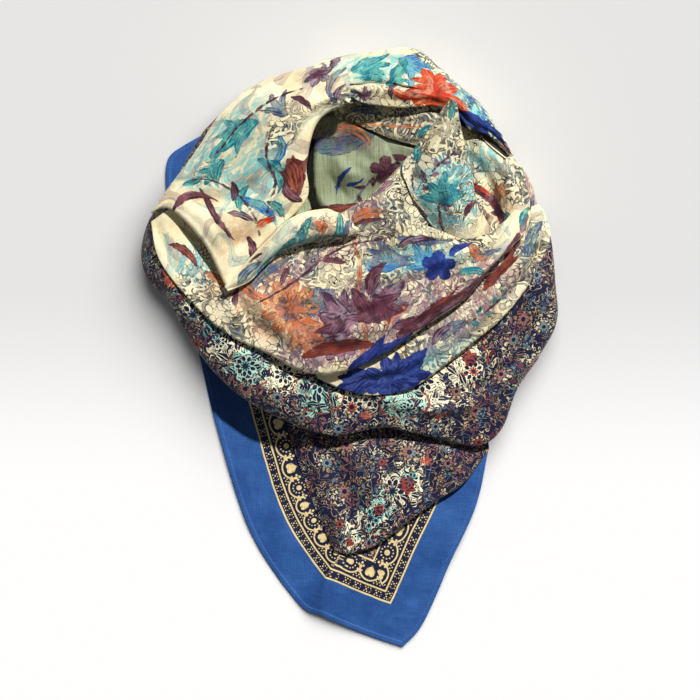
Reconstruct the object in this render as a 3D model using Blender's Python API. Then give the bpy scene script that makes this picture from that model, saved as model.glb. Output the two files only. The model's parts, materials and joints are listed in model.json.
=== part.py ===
"""Silk square scarf, wound into a loose neck ring and laid down, one corner spread out at the front.

The cloth lies in overlapping stretches. Each stretch is a wall of even thickness, lofted through a
short table of sections, with its folded edges rolled under, and it rests on the stretches below it.
The plies that are hidden inside the heap are one rounded solid, layered at its edge.

Plan sizes are in millimetres on a 700 mm square board, x across and y down from its far left corner.
Heights are in millimetres above the table. board_to_world turns both into metres, with +Z up and
the origin on the table, under the middle of the outline.
"""

import math

import bpy
import numpy as np
from mathutils import Vector
from mathutils.bvhtree import BVHTree

# Driving dimensions, in millimetres.
MM = 0.001
BOARD_MIDDLE = (349.35, 349.16)
WALL = 1.5
HEM_WALL = 2.4
HEM_WIDTH = 5.0
HEM_STEP = 1.25  # where the wall is thin again, in hem widths
GAP = 0.6
LEAST_ROLL = 0.9
ROLL_ANGLES = (48, 96, 140, 180)
SHARP_ANGLE = 50

# How the cloth is settled on what lies below it, in millimetres.
PLAN_STEP = 1.0
SETTLE_ROUNDS = 10
LEAST_LIFT = 0.01
WORST_LIFT = 0.05
FAR_ABOVE = 1000.0
NEARLY_ZERO = 1e-9

# The hidden plies: reach of the heap from its middle, by compass angle, and its heights.
CORE_MIDDLE = (352.0, 232.0)
CORE_REACH = (
    # angle in degrees from board +x, counted towards the far side; reach; height of the side
    (0, 178, 26),
    (30, 160, 34),
    (60, 168, 38),
    (90, 158, 40),
    (120, 154, 38),
    (150, 156, 28),
    (180, 182, 26),
    (210, 172, 28),
    (240, 166, 32),
    (270, 158, 34),
    (300, 164, 32),
    (330, 186, 22),
)
CORE_PLIES = 4
PLY_GROOVE = 0.018  # depth of the groove between two plies, as a share of the reach
CORE_SIDES = 36
CORE_FOOT_SHARE = 0.5
CORE_SHOULDER_SHARE = 0.86
CORE_SHOULDER_RISE = 0.45  # from the side's height towards the ring's
CORE_RING_SHARE = 0.62
CORE_RING_HEIGHT = 42.0
CORE_SLOPE_SHARE = 0.46
CORE_BOWL_SHARE = 0.30
CORE_BOWL_HEIGHT = 33.0
CORE_COLOR = (0.3, 0.28, 0.24)
CORE_ROUGHNESS = 0.7

# Each stretch is a table of sections, in order along the stretch. A section gives its points across
# the stretch as (x, y, height), and last the radius of the roll at its folded edges.
# rolls names the folded sides: "root" is the first column, "edge" the last one, "start" the first
# section and "end" the last one. hems names the sides with a hem in the same way.

BACK_CORNER = {
    "columns": ("hem", "middle", "root", "roll"),
    "rolls": (),
    "hems": ("root",),
    "sections": (
        ((215, 124, 2), (219, 131, 3), (223, 138, 3), 0),
        ((199, 134, 2), (206, 142, 4), (213, 150, 3), 0),
        ((183, 143, 2), (193, 152, 4), (203, 162, 3), 0),
        ((169, 153, 2), (182, 163, 4), (194, 172, 3), 0),
        ((164, 167, 2), (175, 176, 4), (186, 184, 3), 0),
        ((164, 190, 2), (172, 193, 4), (180, 196, 3), 0),
        ((166, 210, 2), (171, 211, 3), (176, 212, 3), 0),
    ),
}

FRONT_CORNER = {
    "columns": ("left hem", "border", "field edge", "field", "root", "roll"),
    "rolls": (),
    "hems": ("root", "start"),
    "sections": (
        ((403, 650, 2), (424, 625, 3), (453, 560, 6), (477, 507, 6), (490, 448, 8), 0),
        ((365, 637, 3), (401, 609, 5), (434, 545, 10), (453, 490, 12), (468, 432, 14), 0),
        ((323, 619, 7), (338, 585, 13), (386, 532, 16), (414, 478, 18), (440, 420, 20), 0),
        ((296, 604, 2), (314, 577, 7), (366, 520, 15), (398, 466, 18), (424, 412, 21), 0),
        ((249, 533, 2), (279, 513, 6), (334, 478, 14), (372, 440, 18), (396, 402, 22), 0),
        ((216, 430, 2), (253, 424, 5), (300, 410, 14), (338, 402, 18), (364, 398, 22), 0),
        ((197, 352, 3), (214, 360, 5), (240, 376, 10), (272, 388, 14), (305, 396, 18), 0),
    ),
}

FRONT_DRAPE = {
    "columns": ("root", "upper", "belly", "edge", "roll"),
    "rolls": ("edge",),
    "hems": (),
    "sections": (
        ((290, 392, 30), (286, 420, 16), (306, 486, 11), (334, 552, 12), 1.5),
        ((312, 392, 34), (315, 425, 22), (334, 485, 19), (350, 555, 19), 4),
        ((345, 392, 36), (352, 425, 24), (368, 478, 27), (378, 545, 25), 6),
        ((385, 392, 37), (392, 425, 26), (404, 470, 31), (410, 521, 28), 7),
        ((425, 390, 37), (430, 425, 27), (438, 460, 30), (440, 500, 26), 7),
        ((458, 385, 36), (464, 420, 26), (466, 450, 26), (465, 483, 23), 6),
        ((484, 380, 32), (486, 405, 24), (488, 430, 19), (490, 450, 16), 3),
    ),
}

RING_BAND = {
    "columns": ("root", "crest", "side", "foot", "roll"),
    "rolls": (),
    "hems": (),
    "sections": (
        ((246, 128, 26), (233, 118, 24), (220, 113, 16), (223, 117, 9), 0),
        ((226, 152, 34), (214, 143, 31), (202, 133, 20), (206, 138, 10), 0),
        ((206, 184, 40), (193, 176, 37), (180, 170, 24), (184, 175, 11), 0),
        ((190, 208, 42), (175, 201, 40), (161, 198, 25), (166, 202, 11), 0),
        ((182, 230, 45), (160, 224, 43), (146, 226, 26), (151, 229, 10), 0),
        ((182, 252, 46), (157, 250, 44), (141, 254, 27), (146, 256, 10), 0),
        ((196, 276, 47), (165, 276, 46), (148, 280, 29), (152, 280, 11), 0),
        ((214, 286, 48), (183, 295, 47), (167, 300, 32), (171, 298, 14), 0),
        ((234, 306, 49), (202, 320, 48), (185, 330, 34), (189, 327, 17), 0),
        ((257, 326, 50), (226, 347, 50), (206, 361, 37), (211, 357, 20), 0),
        ((280, 346, 51), (252, 375, 52), (236, 392, 40), (241, 387, 23), 0),
        ((308, 362, 51), (291, 397, 52), (279, 417, 41), (283, 411, 25), 0),
        ((340, 368, 50), (335, 409, 46), (329, 435, 38), (331, 428, 26), 0),
        ((378, 366, 50), (380, 403, 50), (382, 427, 40), (382, 420, 28), 0),
        ((425, 352, 49), (430, 403, 48), (430, 435, 38), (430, 428, 27), 0),
        ((452, 340, 48), (464, 403, 46), (475, 444, 34), (472, 437, 22), 0),
        ((474, 328, 47), (491, 393, 42), (501, 429, 30), (498, 422, 14), 0),
        ((488, 314, 46), (507, 367, 44), (518, 387, 30), (514, 381, 13), 0),
        ((502, 294, 45), (527, 337, 42), (541, 352, 29), (537, 347, 11), 0),
        ((514, 276, 45), (542, 306, 44), (557, 320, 28), (552, 316, 10), 0),
        ((522, 256, 44), (544, 276, 42), (556, 284, 28), (551, 282, 10), 0),
        ((524, 236, 43), (541, 240, 41), (552, 240, 28), (547, 240, 12), 0),
        ((524, 218, 40), (536, 220, 39), (545, 221, 28), (541, 221, 12), 0),
    ),
}

NECK_INSIDE = {
    "columns": ("root", "bowl", "edge", "roll"),
    "rolls": ("edge",),
    "hems": (),
    "sections": (
        ((284, 240, 44), (286, 190, 38), (294, 136, 42), 3),
        ((318, 242, 44), (314, 180, 36), (313, 120, 47), 4),
        ((350, 240, 45), (344, 174, 38), (336, 114, 51), 5),
        ((385, 230, 47), (376, 178, 42), (362, 127, 54), 5),
        ((412, 215, 49), (402, 183, 47), (385, 137, 56), 5),
        ((432, 200, 50), (420, 182, 50), (404, 145, 57), 4),
        ((446, 186, 51), (436, 172, 53), (422, 151, 58), 3),
    ),
}

RIGHT_EDGE_FOLD = {
    "columns": ("root", "crest", "side", "foot", "roll"),
    "rolls": (),
    "hems": (),
    "sections": (
        ((488, 168, 45), (502, 162, 46), (513, 157, 34), (508, 161, 12), 0),
        ((496, 178, 46), (510, 171, 48), (521, 166, 34), (516, 170, 12), 0),
        ((505, 196, 47), (521, 187, 50), (531, 183, 34), (526, 186, 12), 0),
        ((510, 211, 46), (526, 205, 48), (537, 202, 34), (532, 204, 12), 0),
        ((512, 226, 45), (527, 221, 46), (540, 217, 34), (536, 219, 18), 0),
        ((512, 240, 45), (526, 236, 46), (538, 232, 44), (537, 233, 42), 0),
    ),
}

RIGHT_FOLD = {
    "columns": ("root", "middle", "crest", "edge", "roll"),
    "rolls": ("edge",),
    "hems": (),
    "sections": (
        ((440, 122, 54), (457, 126, 57), (470, 131, 57), (481, 138, 52), 4),
        ((446, 146, 54), (467, 148, 61), (483, 150, 63), (496, 153, 57), 5),
        ((455, 168, 54), (480, 168, 60), (502, 168, 66), (520, 166, 60), 7),
        ((462, 190, 53), (485, 190, 57), (508, 190, 65), (526, 186, 59), 7),
        ((470, 212, 52), (492, 213, 54), (513, 212, 63), (529, 208, 57), 6),
        ((474, 235, 52), (494, 236, 53), (510, 235, 58), (523, 231, 54), 5),
        ((476, 256, 53), (489, 257, 54), (500, 257, 55), (509, 253, 54), 3),
    ),
}

COLLAR_LIP = {
    "columns": ("root", "crest", "lower", "tuck", "roll"),
    "rolls": (),
    "hems": (),
    "sections": (
        ((328, 98, 56), (331, 106, 52), (334, 113, 49), (336, 119, 46), 0),
        ((350, 97, 62), (352, 109, 61), (355, 117, 59), (357, 125, 55), 0),
        ((375, 96, 66), (377, 111, 68), (380, 123, 66), (382, 136, 60), 0),
        ((400, 96, 67), (402, 114, 70), (404, 128, 68), (406, 144, 61), 0),
        ((425, 96, 68), (427, 114, 72), (428, 129, 70), (430, 148, 62), 0),
        ((448, 96, 68), (449, 113, 72), (450, 127, 70), (452, 146, 62), 0),
    ),
}

BACK_PANEL = {
    "columns": ("root", "inner", "crest", "side", "foot", "roll"),
    "rolls": (),
    "hems": (),
    "sections": (
        ((296, 130, 66), (289, 116, 67), (283, 104, 65), (279, 94, 52), (281, 97, 46), 0),
        ((316, 112, 72), (311, 102, 74), (304, 88, 74), (300, 73, 46), (303, 78, 14), 0),
        ((344, 106, 74), (341, 95, 76), (336, 78, 77), (331, 59, 48), (334, 66, 12), 0),
        ((375, 103, 76), (373, 91, 79), (371, 74, 78), (368, 54, 48), (370, 61, 11), 0),
        ((405, 104, 76), (405, 91, 79), (407, 71, 78), (410, 49, 48), (409, 57, 11), 0),
        ((429, 106, 75), (432, 95, 77), (436, 82, 75), (438, 66, 46), (435, 72, 11), 0),
        ((447, 115, 71), (450, 105, 73), (455, 96, 71), (457, 84, 44), (453, 90, 12), 0),
        ((463, 121, 70), (467, 115, 71), (471, 110, 67), (475, 100, 42), (470, 106, 12), 0),
        ((478, 136, 64), (481, 131, 65), (485, 124, 63), (487, 114, 40), (483, 119, 12), 0),
        ((491, 149, 60), (494, 146, 61), (498, 142, 59), (501, 136, 42), (497, 141, 22), 0),
        ((505, 160, 57), (507, 158, 58), (510, 157, 56), (513, 155, 48), (511, 157, 45), 0),
    ),
}

COLLAR_ROLL = {
    "columns": ("upper edge", "crest", "lower edge", "roll"),
    "rolls": ("root", "edge"),
    "hems": (),
    "sections": (
        ((325, 88, 72), (326, 93, 74), (327, 97, 72), 3),
        ((345, 83, 77), (347, 91, 80), (349, 99, 77), 4),
        ((358, 80, 79), (360, 92, 85), (362, 105, 80), 6),
        ((372, 78, 80), (374, 91, 86), (376, 108, 82), 6),
        ((400, 81, 80), (401, 95, 87), (402, 110, 82), 6),
        ((428, 88, 80), (430, 98, 86), (432, 108, 81), 5),
        ((450, 88, 79), (453, 102, 84), (455, 116, 79), 5),
        ((469, 107, 76), (470, 119, 80), (470, 132, 74), 5),
        ((484, 120, 71), (485, 128, 74), (486, 136, 70), 4),
        ((499, 134, 66), (500, 140, 68), (500, 146, 65), 3),
        ((509, 150, 62), (510, 154, 63), (511, 158, 61), 2),
    ),
}

NECK_FOLD = {
    "columns": ("root", "crest", "edge", "roll"),
    "rolls": ("edge",),
    "hems": (),
    "sections": (
        ((448, 142, 66), (436, 144, 70), (422, 147, 66), 2),
        ((440, 165, 71), (424, 164, 75), (405, 162, 71), 4),
        ((432, 192, 71), (411, 186, 77), (388, 179, 71), 6),
        ((430, 216, 68), (398, 203, 78), (368, 198, 72), 7),
        ((420, 236, 66), (384, 222, 77), (350, 209, 73), 7),
        ((392, 244, 62), (362, 233, 74), (335, 218, 68), 5),
    ),
}

PEAK_FOLD = {
    "columns": ("left edge", "crest", "right edge", "roll"),
    "rolls": ("root", "edge"),
    "hems": (),
    "sections": (
        ((447, 105, 90), (451, 103, 91), (455, 105, 89), 2),
        ((439, 116, 86), (449, 118, 89), (458, 121, 85), 3),
        ((428, 132, 82), (444, 134, 88), (462, 137, 81), 4),
        ((414, 150, 79), (438, 154, 86), (467, 156, 77), 4),
        ((402, 168, 75), (436, 174, 85), (471, 177, 73), 1),
        ((407, 188, 76), (440, 195, 83), (474, 195, 70), 0.2),
        ((419, 211, 72), (449, 214, 78), (481, 213, 65), 0.2),
        ((436, 232, 66), (463, 233, 70), (490, 231, 60), 0.2),
        ((450, 250, 58), (470, 252, 60), (491, 250, 56), 0.2),
    ),
}

OUTER_SWAG = {
    "columns": ("root", "belly", "edge", "roll"),
    "rolls": ("edge",),
    "hems": (),
    "sections": (
        ((300, 345, 54), (310, 362, 55), (318, 378, 54), 2),
        ((330, 348, 56), (338, 370, 58), (345, 390, 55), 4),
        ((365, 345, 58), (370, 370, 61), (374, 395, 56), 6),
        ((400, 330, 60), (405, 362, 62), (409, 389, 57), 6),
        ((430, 312, 61), (434, 345, 62), (438, 370, 57), 5),
        ((454, 285, 62), (466, 318, 63), (472, 343, 57), 4),
        ((482, 262, 62), (494, 292, 63), (503, 317, 55), 4),
        ((503, 238, 60), (517, 264, 61), (527, 286, 52), 4),
        ((519, 226, 57), (533, 241, 58), (545, 253, 48), 4),
        ((529, 215, 55), (540, 222, 55), (550, 232, 45), 3),
        ((531, 207, 53), (537, 205, 53), (543, 209, 46), 2),
    ),
}

INNER_SWAG = {
    "columns": ("root", "upper", "belly", "edge", "roll"),
    "rolls": ("edge",),
    "hems": (),
    "sections": (
        ((200, 196, 44), (178, 204, 50), (164, 213, 49), (151, 222, 45), 4),
        ((226, 225, 42), (202, 235, 43), (178, 246, 50), (159, 258, 48), 5),
        ((250, 245, 50), (224, 262, 51), (203, 278, 53), (184, 293, 53), 6),
        ((276, 238, 64), (256, 272, 64), (238, 301, 63), (222, 330, 58), 7),
        ((305, 230, 68), (291, 266, 70), (276, 311, 69), (262, 351, 62), 8),
        ((335, 230, 71), (326, 266, 72), (317, 321, 74), (309, 373, 67), 8),
        ((368, 224, 75), (364, 260, 74), (357, 320, 75), (350, 370, 71), 8),
        ((400, 220, 77), (400, 254, 76), (397, 306, 76), (389, 351, 74), 7),
        ((430, 228, 75), (437, 252, 77), (437, 288, 77), (428, 324, 76), 7),
        ((460, 238, 69), (467, 255, 74), (471, 275, 76), (466, 298, 75), 7),
        ((485, 236, 64), (492, 244, 71), (495, 254, 74), (494, 265, 72), 6),
        ((501, 225, 62), (507, 231, 68), (511, 238, 71), (514, 246, 68), 5),
        ((511, 213, 60), (517, 218, 66), (522, 222, 67), (526, 227, 63), 4),
        ((516, 204, 60), (521, 206, 64), (526, 207, 64), (530, 208, 60), 3),
    ),
}

BACK_WRAP = {
    "columns": ("far end", "back", "shoulder", "side", "cuff", "edge", "roll"),
    "rolls": ("edge", "end"),
    "hems": (),
    "sections": (
        ((345, 62, 50), (269, 84, 14), (228, 117, 20), (202, 154, 30), (178, 189, 38), (159, 213, 42), 2),
        ((345, 61, 57), (266, 80, 38), (223, 112, 40), (197, 151, 42), (171, 186, 46), (152, 213, 50), 4),
        ((348, 76, 80), (275, 101, 78), (240, 134, 72), (212, 166, 64), (192, 190, 60), (172, 210, 59), 4),
        ((350, 91, 87), (292, 117, 86), (270, 157, 80), (250, 192, 73), (228, 218, 68), (204, 243, 64), 5),
        ((351, 104, 84), (319, 123, 84), (307, 165, 81), (306, 202, 76), (264, 245, 71), (227, 288, 66), 5),
    ),
}

FRONT_ROLL = {
    "columns": ("upper edge", "upper", "crest", "lower", "lower edge", "roll"),
    "rolls": ("root", "edge", "end"),
    "hems": (),
    "sections": (
        ((225, 287, 70), (226, 288, 71), (227, 289, 72), (228, 290, 71), (229, 292, 70), 1),
        ((239, 272, 72), (241, 274, 76), (244, 276, 78), (248, 279, 76), (250, 282, 72), 1),
        ((255, 255, 73), (257, 257, 79), (261, 259, 82), (265, 262, 79), (267, 265, 73), 1),
        ((272, 238, 74), (274, 240, 81), (278, 244, 85), (282, 249, 81), (284, 252, 74), 1),
        ((287, 223, 75), (289, 226, 84), (295, 234, 88), (300, 242, 84), (302, 246, 75), 1),
        ((304, 214, 75), (306, 217, 85), (311, 227, 89), (316, 237, 85), (318, 242, 76), 1),
        ((326, 210, 75), (327, 213, 85), (330, 224, 88), (333, 235, 85), (334, 240, 76), 1),
        ((336, 213, 76), (338, 216, 84), (343, 227, 86), (348, 236, 82), (349, 239, 77), 1),
        ((345, 216, 79), (347, 218, 82), (353, 225, 83), (358, 230, 82), (360, 232, 80), 0.5),
    ),
}

# In laying order: name, table, steps from one table row and column to the next, colour, roughness.
STRETCHES = (
    ("back_corner", BACK_CORNER, (2, 3), (0.02, 0.09, 0.32), 0.75),
    ("front_corner", FRONT_CORNER, (3, 3), (0.02, 0.09, 0.32), 0.75),
    ("front_drape", FRONT_DRAPE, (2, 3), (0.04, 0.05, 0.12), 0.7),
    ("ring_band", RING_BAND, (2, 2), (0.06, 0.07, 0.13), 0.7),
    ("neck_inside", NECK_INSIDE, (2, 3), (0.45, 0.55, 0.42), 0.65),
    ("right_edge_fold", RIGHT_EDGE_FOLD, (2, 2), (0.7, 0.66, 0.5), 0.65),
    ("collar_lip", COLLAR_LIP, (2, 2), (0.5, 0.46, 0.36), 0.65),
    ("right_fold", RIGHT_FOLD, (2, 2), (0.6, 0.6, 0.58), 0.65),
    ("back_panel", BACK_PANEL, (2, 2), (0.55, 0.7, 0.66), 0.65),
    ("collar_roll", COLLAR_ROLL, (2, 2), (0.75, 0.3, 0.15), 0.65),
    ("neck_fold", NECK_FOLD, (2, 2), (0.72, 0.62, 0.42), 0.65),
    ("peak_fold", PEAK_FOLD, (2, 2), (0.25, 0.6, 0.6), 0.65),
    ("outer_swag", OUTER_SWAG, (2, 2), (0.1, 0.15, 0.5), 0.65),
    ("inner_swag", INNER_SWAG, (2, 2), (0.62, 0.48, 0.4), 0.65),
    ("back_wrap", BACK_WRAP, (3, 3), (0.8, 0.74, 0.5), 0.65),
    ("front_roll", FRONT_ROLL, (2, 2), (0.5, 0.62, 0.6), 0.65),
)


def board_to_world(points):
    """Board millimetres to metres in the part's frame."""
    points = np.asarray(points, float)
    world = np.empty_like(points)
    world[..., 0] = (points[..., 0] - BOARD_MIDDLE[0]) * MM
    world[..., 1] = (BOARD_MIDDLE[1] - points[..., 1]) * MM
    world[..., 2] = points[..., 2] * MM
    return world


def along(values, places, axis):
    """A smooth curve through the values on one axis, read at the given places, counted in values."""
    values = np.moveaxis(np.asarray(values, float), axis, 0)
    padded = np.concatenate([[2 * values[0] - values[1]], values, [2 * values[-1] - values[-2]]])
    start = np.minimum(places.astype(int), len(values) - 2)
    t = (places - start).reshape((-1,) + (1,) * (values.ndim - 1))
    before, here, there, after = (padded[start + k] for k in range(4))
    curve = 0.5 * (
        2 * here
        + (there - before) * t
        + (2 * before - 5 * here + 4 * there - after) * t**2
        + (3 * here - before - 3 * there + after) * t**3
    )
    return np.moveaxis(curve, 0, axis)


def unit(vectors):
    return vectors / np.maximum(np.linalg.norm(vectors, axis=-1, keepdims=True), NEARLY_ZERO)


def unit_in_plan(vectors):
    return unit(vectors * (1, 1, 0))


def places_with_hem(count, per_span, hem_first, first_span):
    """Even places along a side of the table, with two close ones that bound a hem."""
    places = np.linspace(0, count - 1, (count - 1) * per_span + 1)
    if not hem_first:
        return places
    hem = HEM_WIDTH / first_span
    return np.sort(np.concatenate([places, [hem, HEM_STEP * hem]]))


class Below:
    """The stretches laid so far, seen from straight above."""

    def __init__(self):
        self.points = []
        self.faces = []
        self.tree = None

    def add(self, points, faces):
        first = len(self.points)
        self.points.extend(Vector(p) for p in points)
        self.faces.extend([tuple(first + i for i in face) for face in faces])
        self.tree = BVHTree.FromPolygons(self.points, self.faces)

    def height(self, x, y):
        """The height of the topmost cloth at a board place, or of the table."""
        if self.tree is None:
            return 0.0
        hit = self.tree.ray_cast(Vector((x, y, FAR_ABOVE)), Vector((0, 0, -1)))[0]
        return max(0.0, hit.z) if hit else 0.0

    def heights(self, points):
        flat = points.reshape(-1, points.shape[-1])
        return np.array([self.height(p[0], p[1]) for p in flat]).reshape(points.shape[:-1])


def sampled(table, per_span):
    """The stretch's own surface without its rolls: its points, roll radii and where it is hem."""
    net = np.array([row[:-1] for row in table["sections"]], float)
    radii = np.array([row[-1] for row in table["sections"]], float)
    rolls = table["rolls"]
    for side, column, inner in (("edge", -1, -2), ("root", 0, 1)):
        if side in rolls:
            net[:, column] += unit_in_plan(net[:, inner] - net[:, column]) * radii[:, None]
    end_radius = radii[0] if "start" in rolls else 0.0
    for side, row, inner in (("start", 0, 1), ("end", -1, -2)):
        if side in rolls:
            net[row] += unit_in_plan(net[inner] - net[row]) * end_radius
    hems = table["hems"]
    row_span = np.linalg.norm(net[0, 0] - net[1, 0])
    column_span = np.linalg.norm(net[1, 0] - net[1, 1])
    rows = places_with_hem(net.shape[0], per_span[0], "start" in hems, row_span)
    columns = places_with_hem(net.shape[1], per_span[1], "root" in hems, column_span)
    grid = along(along(net, rows, 0), columns, 1)
    radius = along(radii, rows, 0)
    hem = np.zeros(grid.shape[:2])
    if "root" in hems:
        hem[:, columns * column_span < 0.5 * (1 + HEM_STEP) * HEM_WIDTH] = 1
    if "start" in hems:
        hem[rows * row_span < 0.5 * (1 + HEM_STEP) * HEM_WIDTH] = 1
    return grid, radius, end_radius, hem


def roll_steps(line, nearby, wanted, below):
    """The turns of one roll out from a line of border points, and the lift that makes room for it."""
    outward = unit_in_plan(line - nearby)
    under = np.maximum(below.heights(line), below.heights(line + outward * wanted[:, None]))
    room = (line[:, 2] - under - GAP - WALL) / 2
    real = np.maximum(np.minimum(wanted, room), LEAST_ROLL)
    lift = np.maximum(0, under + GAP + WALL + 2 * real - line[:, 2])
    steps = []
    for angle in ROLL_ANGLES:
        turn = math.radians(angle)
        flat = real * math.sin(turn) + np.maximum(wanted - real, 0)
        steps.append((outward * flat[:, None], real * (1 - math.cos(turn))))
    return steps, lift


def rolled(grid, radius, end_radius, rolls, below):
    """The grid with a roll turned under at each folded side, no larger than the room below it."""
    sides = {
        # the grid's border line, the line next to it, and the axis across which the roll runs
        "start": (np.s_[0], np.s_[1], 0),
        "end": (np.s_[-1], np.s_[-2], 0),
        "root": (np.s_[:, 0], np.s_[:, 1], 1),
        "edge": (np.s_[:, -1], np.s_[:, -2], 1),
    }
    turns = {}
    for side in rolls:
        border, inner, axis = sides[side]
        wanted = radius if axis else np.full(grid.shape[1], end_radius)
        turns[side] = roll_steps(grid[border], grid[inner], wanted, below)
    for side, (_, lift) in turns.items():
        grid[sides[side][0]][:, 2] += lift
    count = {side: len(ROLL_ANGLES) if side in rolls else 0 for side in sides}
    pads = ((count["start"], count["end"]), (count["root"], count["edge"]))
    whole = np.pad(grid, pads + ((0, 0),), mode="edge")
    drops = np.zeros(whole.shape[:2])
    for side, (steps, _) in turns.items():
        axis = sides[side][2]
        for k, (flat, drop) in enumerate(steps):
            first = side in ("start", "root")
            line = count[side] - 1 - k if first else whole.shape[axis] - count[side] + k
            place = (slice(None), line) if axis else (line, slice(None))
            whole[place] += np.pad(flat, (pads[1 - axis], (0, 0)), mode="edge")
            drops[place] = np.hypot(drops[place], np.pad(drop, pads[1 - axis], mode="edge"))
    whole[..., 2] -= drops
    return whole, pads


def normals_of(grid):
    down_rows = np.gradient(grid, axis=0)
    down_columns = np.gradient(grid, axis=1)
    return unit(np.cross(down_rows, down_columns))


def shell(grid, thickness, up):
    """Points and faces of the wall: the upper sheet, the lower sheet and the rim between them."""
    normal = normals_of(grid) * up
    half = thickness[..., None] / 2
    upper, lower = grid + normal * half, grid - normal * half
    upper[..., 2] = np.maximum(upper[..., 2], 2 * half[..., 0])
    lower[..., 2] = np.maximum(lower[..., 2], 0)
    rows, columns = grid.shape[:2]
    count = rows * columns
    points = np.concatenate([upper.reshape(-1, 3), lower.reshape(-1, 3)])
    index = np.arange(count).reshape(rows, columns)
    faces = []
    for i in range(rows - 1):
        for j in range(columns - 1):
            a, b, c, d = index[i, j], index[i + 1, j], index[i + 1, j + 1], index[i, j + 1]
            faces += [(a, b, c), (a, c, d)]
            faces += [(c + count, b + count, a + count), (d + count, c + count, a + count)]
    ring = [*index[:, 0], *index[-1, 1:], *index[-2::-1, -1], *index[0, -2:0:-1]]
    for a, b in zip(ring, ring[1:] + ring[:1]):
        faces += [(b, a, a + count), (b, a + count, b + count)]
    # The first pair of faces looks up only where the rows and columns turn that way.
    return points, [face if up > 0 else face[::-1] for face in faces]


def probe_places(points, below):
    """Where to look for contact: an even plan grid, and every corner of the cloth that lies below."""
    low, high = points.min(0), points.max(0)
    places = [
        (x, y)
        for x in np.arange(low[0], high[0] + PLAN_STEP, PLAN_STEP)
        for y in np.arange(low[1], high[1] + PLAN_STEP, PLAN_STEP)
    ]
    places += [(p.x, p.y) for p in below.points if low[0] < p.x < high[0] and low[1] < p.y < high[1]]
    return places


def settled(grid, thickness, up, below):
    """Lifts the grid until its wall is clear of everything that lies under it."""
    count = grid.shape[0] * grid.shape[1]
    for _ in range(SETTLE_ROUNDS):
        points, faces = shell(grid, thickness, up)
        tree = BVHTree.FromPolygons([Vector(p) for p in points], faces)
        lift = np.zeros(count)
        for i, (x, y, z) in enumerate(points):
            under = below.height(x, y)
            if under > 0 and under + GAP - z > LEAST_LIFT:
                lift[i % count] = max(lift[i % count], under + GAP - z)
        for x, y in probe_places(points, below):
            under = below.height(x, y)
            hit, _, face, _ = tree.ray_cast(Vector((x, y, -FAR_ABOVE)), Vector((0, 0, 1)))
            if under > 0 and hit and under + GAP - hit.z > LEAST_LIFT:
                for i in faces[face]:
                    lift[i % count] = max(lift[i % count], under + GAP - hit.z)
        if lift.max() == 0:
            break
        grid[..., 2] += lift.reshape(grid.shape[:2])
    return grid, float(lift.max())


def make_object(name, points, faces, color, roughness):
    mesh = bpy.data.meshes.new(name)
    mesh.from_pydata(board_to_world(points).tolist(), [], faces)
    mesh.shade_smooth()
    mesh.set_sharp_from_angle(angle=math.radians(SHARP_ANGLE))
    mesh.materials.append(cloth_material(name, color, roughness))
    obj = bpy.data.objects.new(name, mesh)
    bpy.context.scene.collection.objects.link(obj)
    return obj


def cloth_material(name, color, roughness):
    material = bpy.data.materials.new(name)
    material.use_nodes = True
    shader = material.node_tree.nodes["Principled BSDF"]
    shader.inputs["Base Color"].default_value = (*color, 1)
    shader.inputs["Roughness"].default_value = roughness
    shader.inputs["Metallic"].default_value = 0.0
    material.diffuse_color = (*color, 1)
    return material


def core_shape():
    """The hidden plies: a flat underside, a side of rounded plies, and a ring round a shallow bowl."""
    table = np.array(CORE_REACH, float)
    step = table[1, 0] - table[0, 0]
    angles = np.linspace(0, 360, CORE_SIDES, endpoint=False)
    places = angles / step + 1
    looped = np.concatenate([table[-1:], table, table[:2]])
    reach = along(looped[:, 1], places, 0)
    side = along(looped[:, 2], places, 0)
    # Each ring: its share of the reach, and its height all round.
    rings = [(CORE_FOOT_SHARE, 0 * side), (1 - 2 * PLY_GROOVE, 0 * side)]
    for ply in range(CORE_PLIES):
        rings.append((1, side * (ply + 0.5) / CORE_PLIES))
        rings.append((1 - PLY_GROOVE, side * (ply + 1) / CORE_PLIES))
    rings += [
        (CORE_SHOULDER_SHARE, side + CORE_SHOULDER_RISE * (CORE_RING_HEIGHT - side)),
        (CORE_RING_SHARE, 0 * side + CORE_RING_HEIGHT),
        (CORE_SLOPE_SHARE, 0 * side + (CORE_RING_HEIGHT + CORE_BOWL_HEIGHT) / 2),
        (CORE_BOWL_SHARE, 0 * side + CORE_BOWL_HEIGHT),
    ]
    x, y = CORE_MIDDLE
    points = [
        (x + share * r * math.cos(turn), y - share * r * math.sin(turn), z)
        for share, heights in rings
        for r, turn, z in zip(reach, np.radians(angles), heights)
    ]
    under, bowl = len(points), len(points) + 1
    last = under - CORE_SIDES
    points += [(x, y, 0.0), (x, y, CORE_BOWL_HEIGHT)]
    faces = []
    for i in range(CORE_SIDES):
        j = (i + 1) % CORE_SIDES
        faces += [(j, i, under), (last + i, last + j, bowl)]
        for ring in range(0, last, CORE_SIDES):
            above = ring + CORE_SIDES
            faces.append((ring + i, ring + j, above + j, above + i))
    return np.array(points), faces


def lay_stretch(name, table, per_span, color, roughness, below):
    """Makes one stretch on top of those laid so far, and returns the lift that it still needs."""
    grid, radius, end_radius, hem = sampled(table, per_span)
    grid, pads = rolled(grid, radius, end_radius, table["rolls"], below)
    thickness = WALL + (HEM_WALL - WALL) * np.pad(hem, pads)
    middle = normals_of(grid)[grid.shape[0] // 2, grid.shape[1] // 2]
    up = 1.0 if middle[2] > 0 else -1.0
    grid, left = settled(grid, thickness, up, below)
    points, faces = shell(grid, thickness, up)
    below.add(points, faces)
    # The board's y runs the other way from the world's, which turns every face round.
    make_object(name, points, [face[::-1] for face in faces], color, roughness)
    return left


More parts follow.
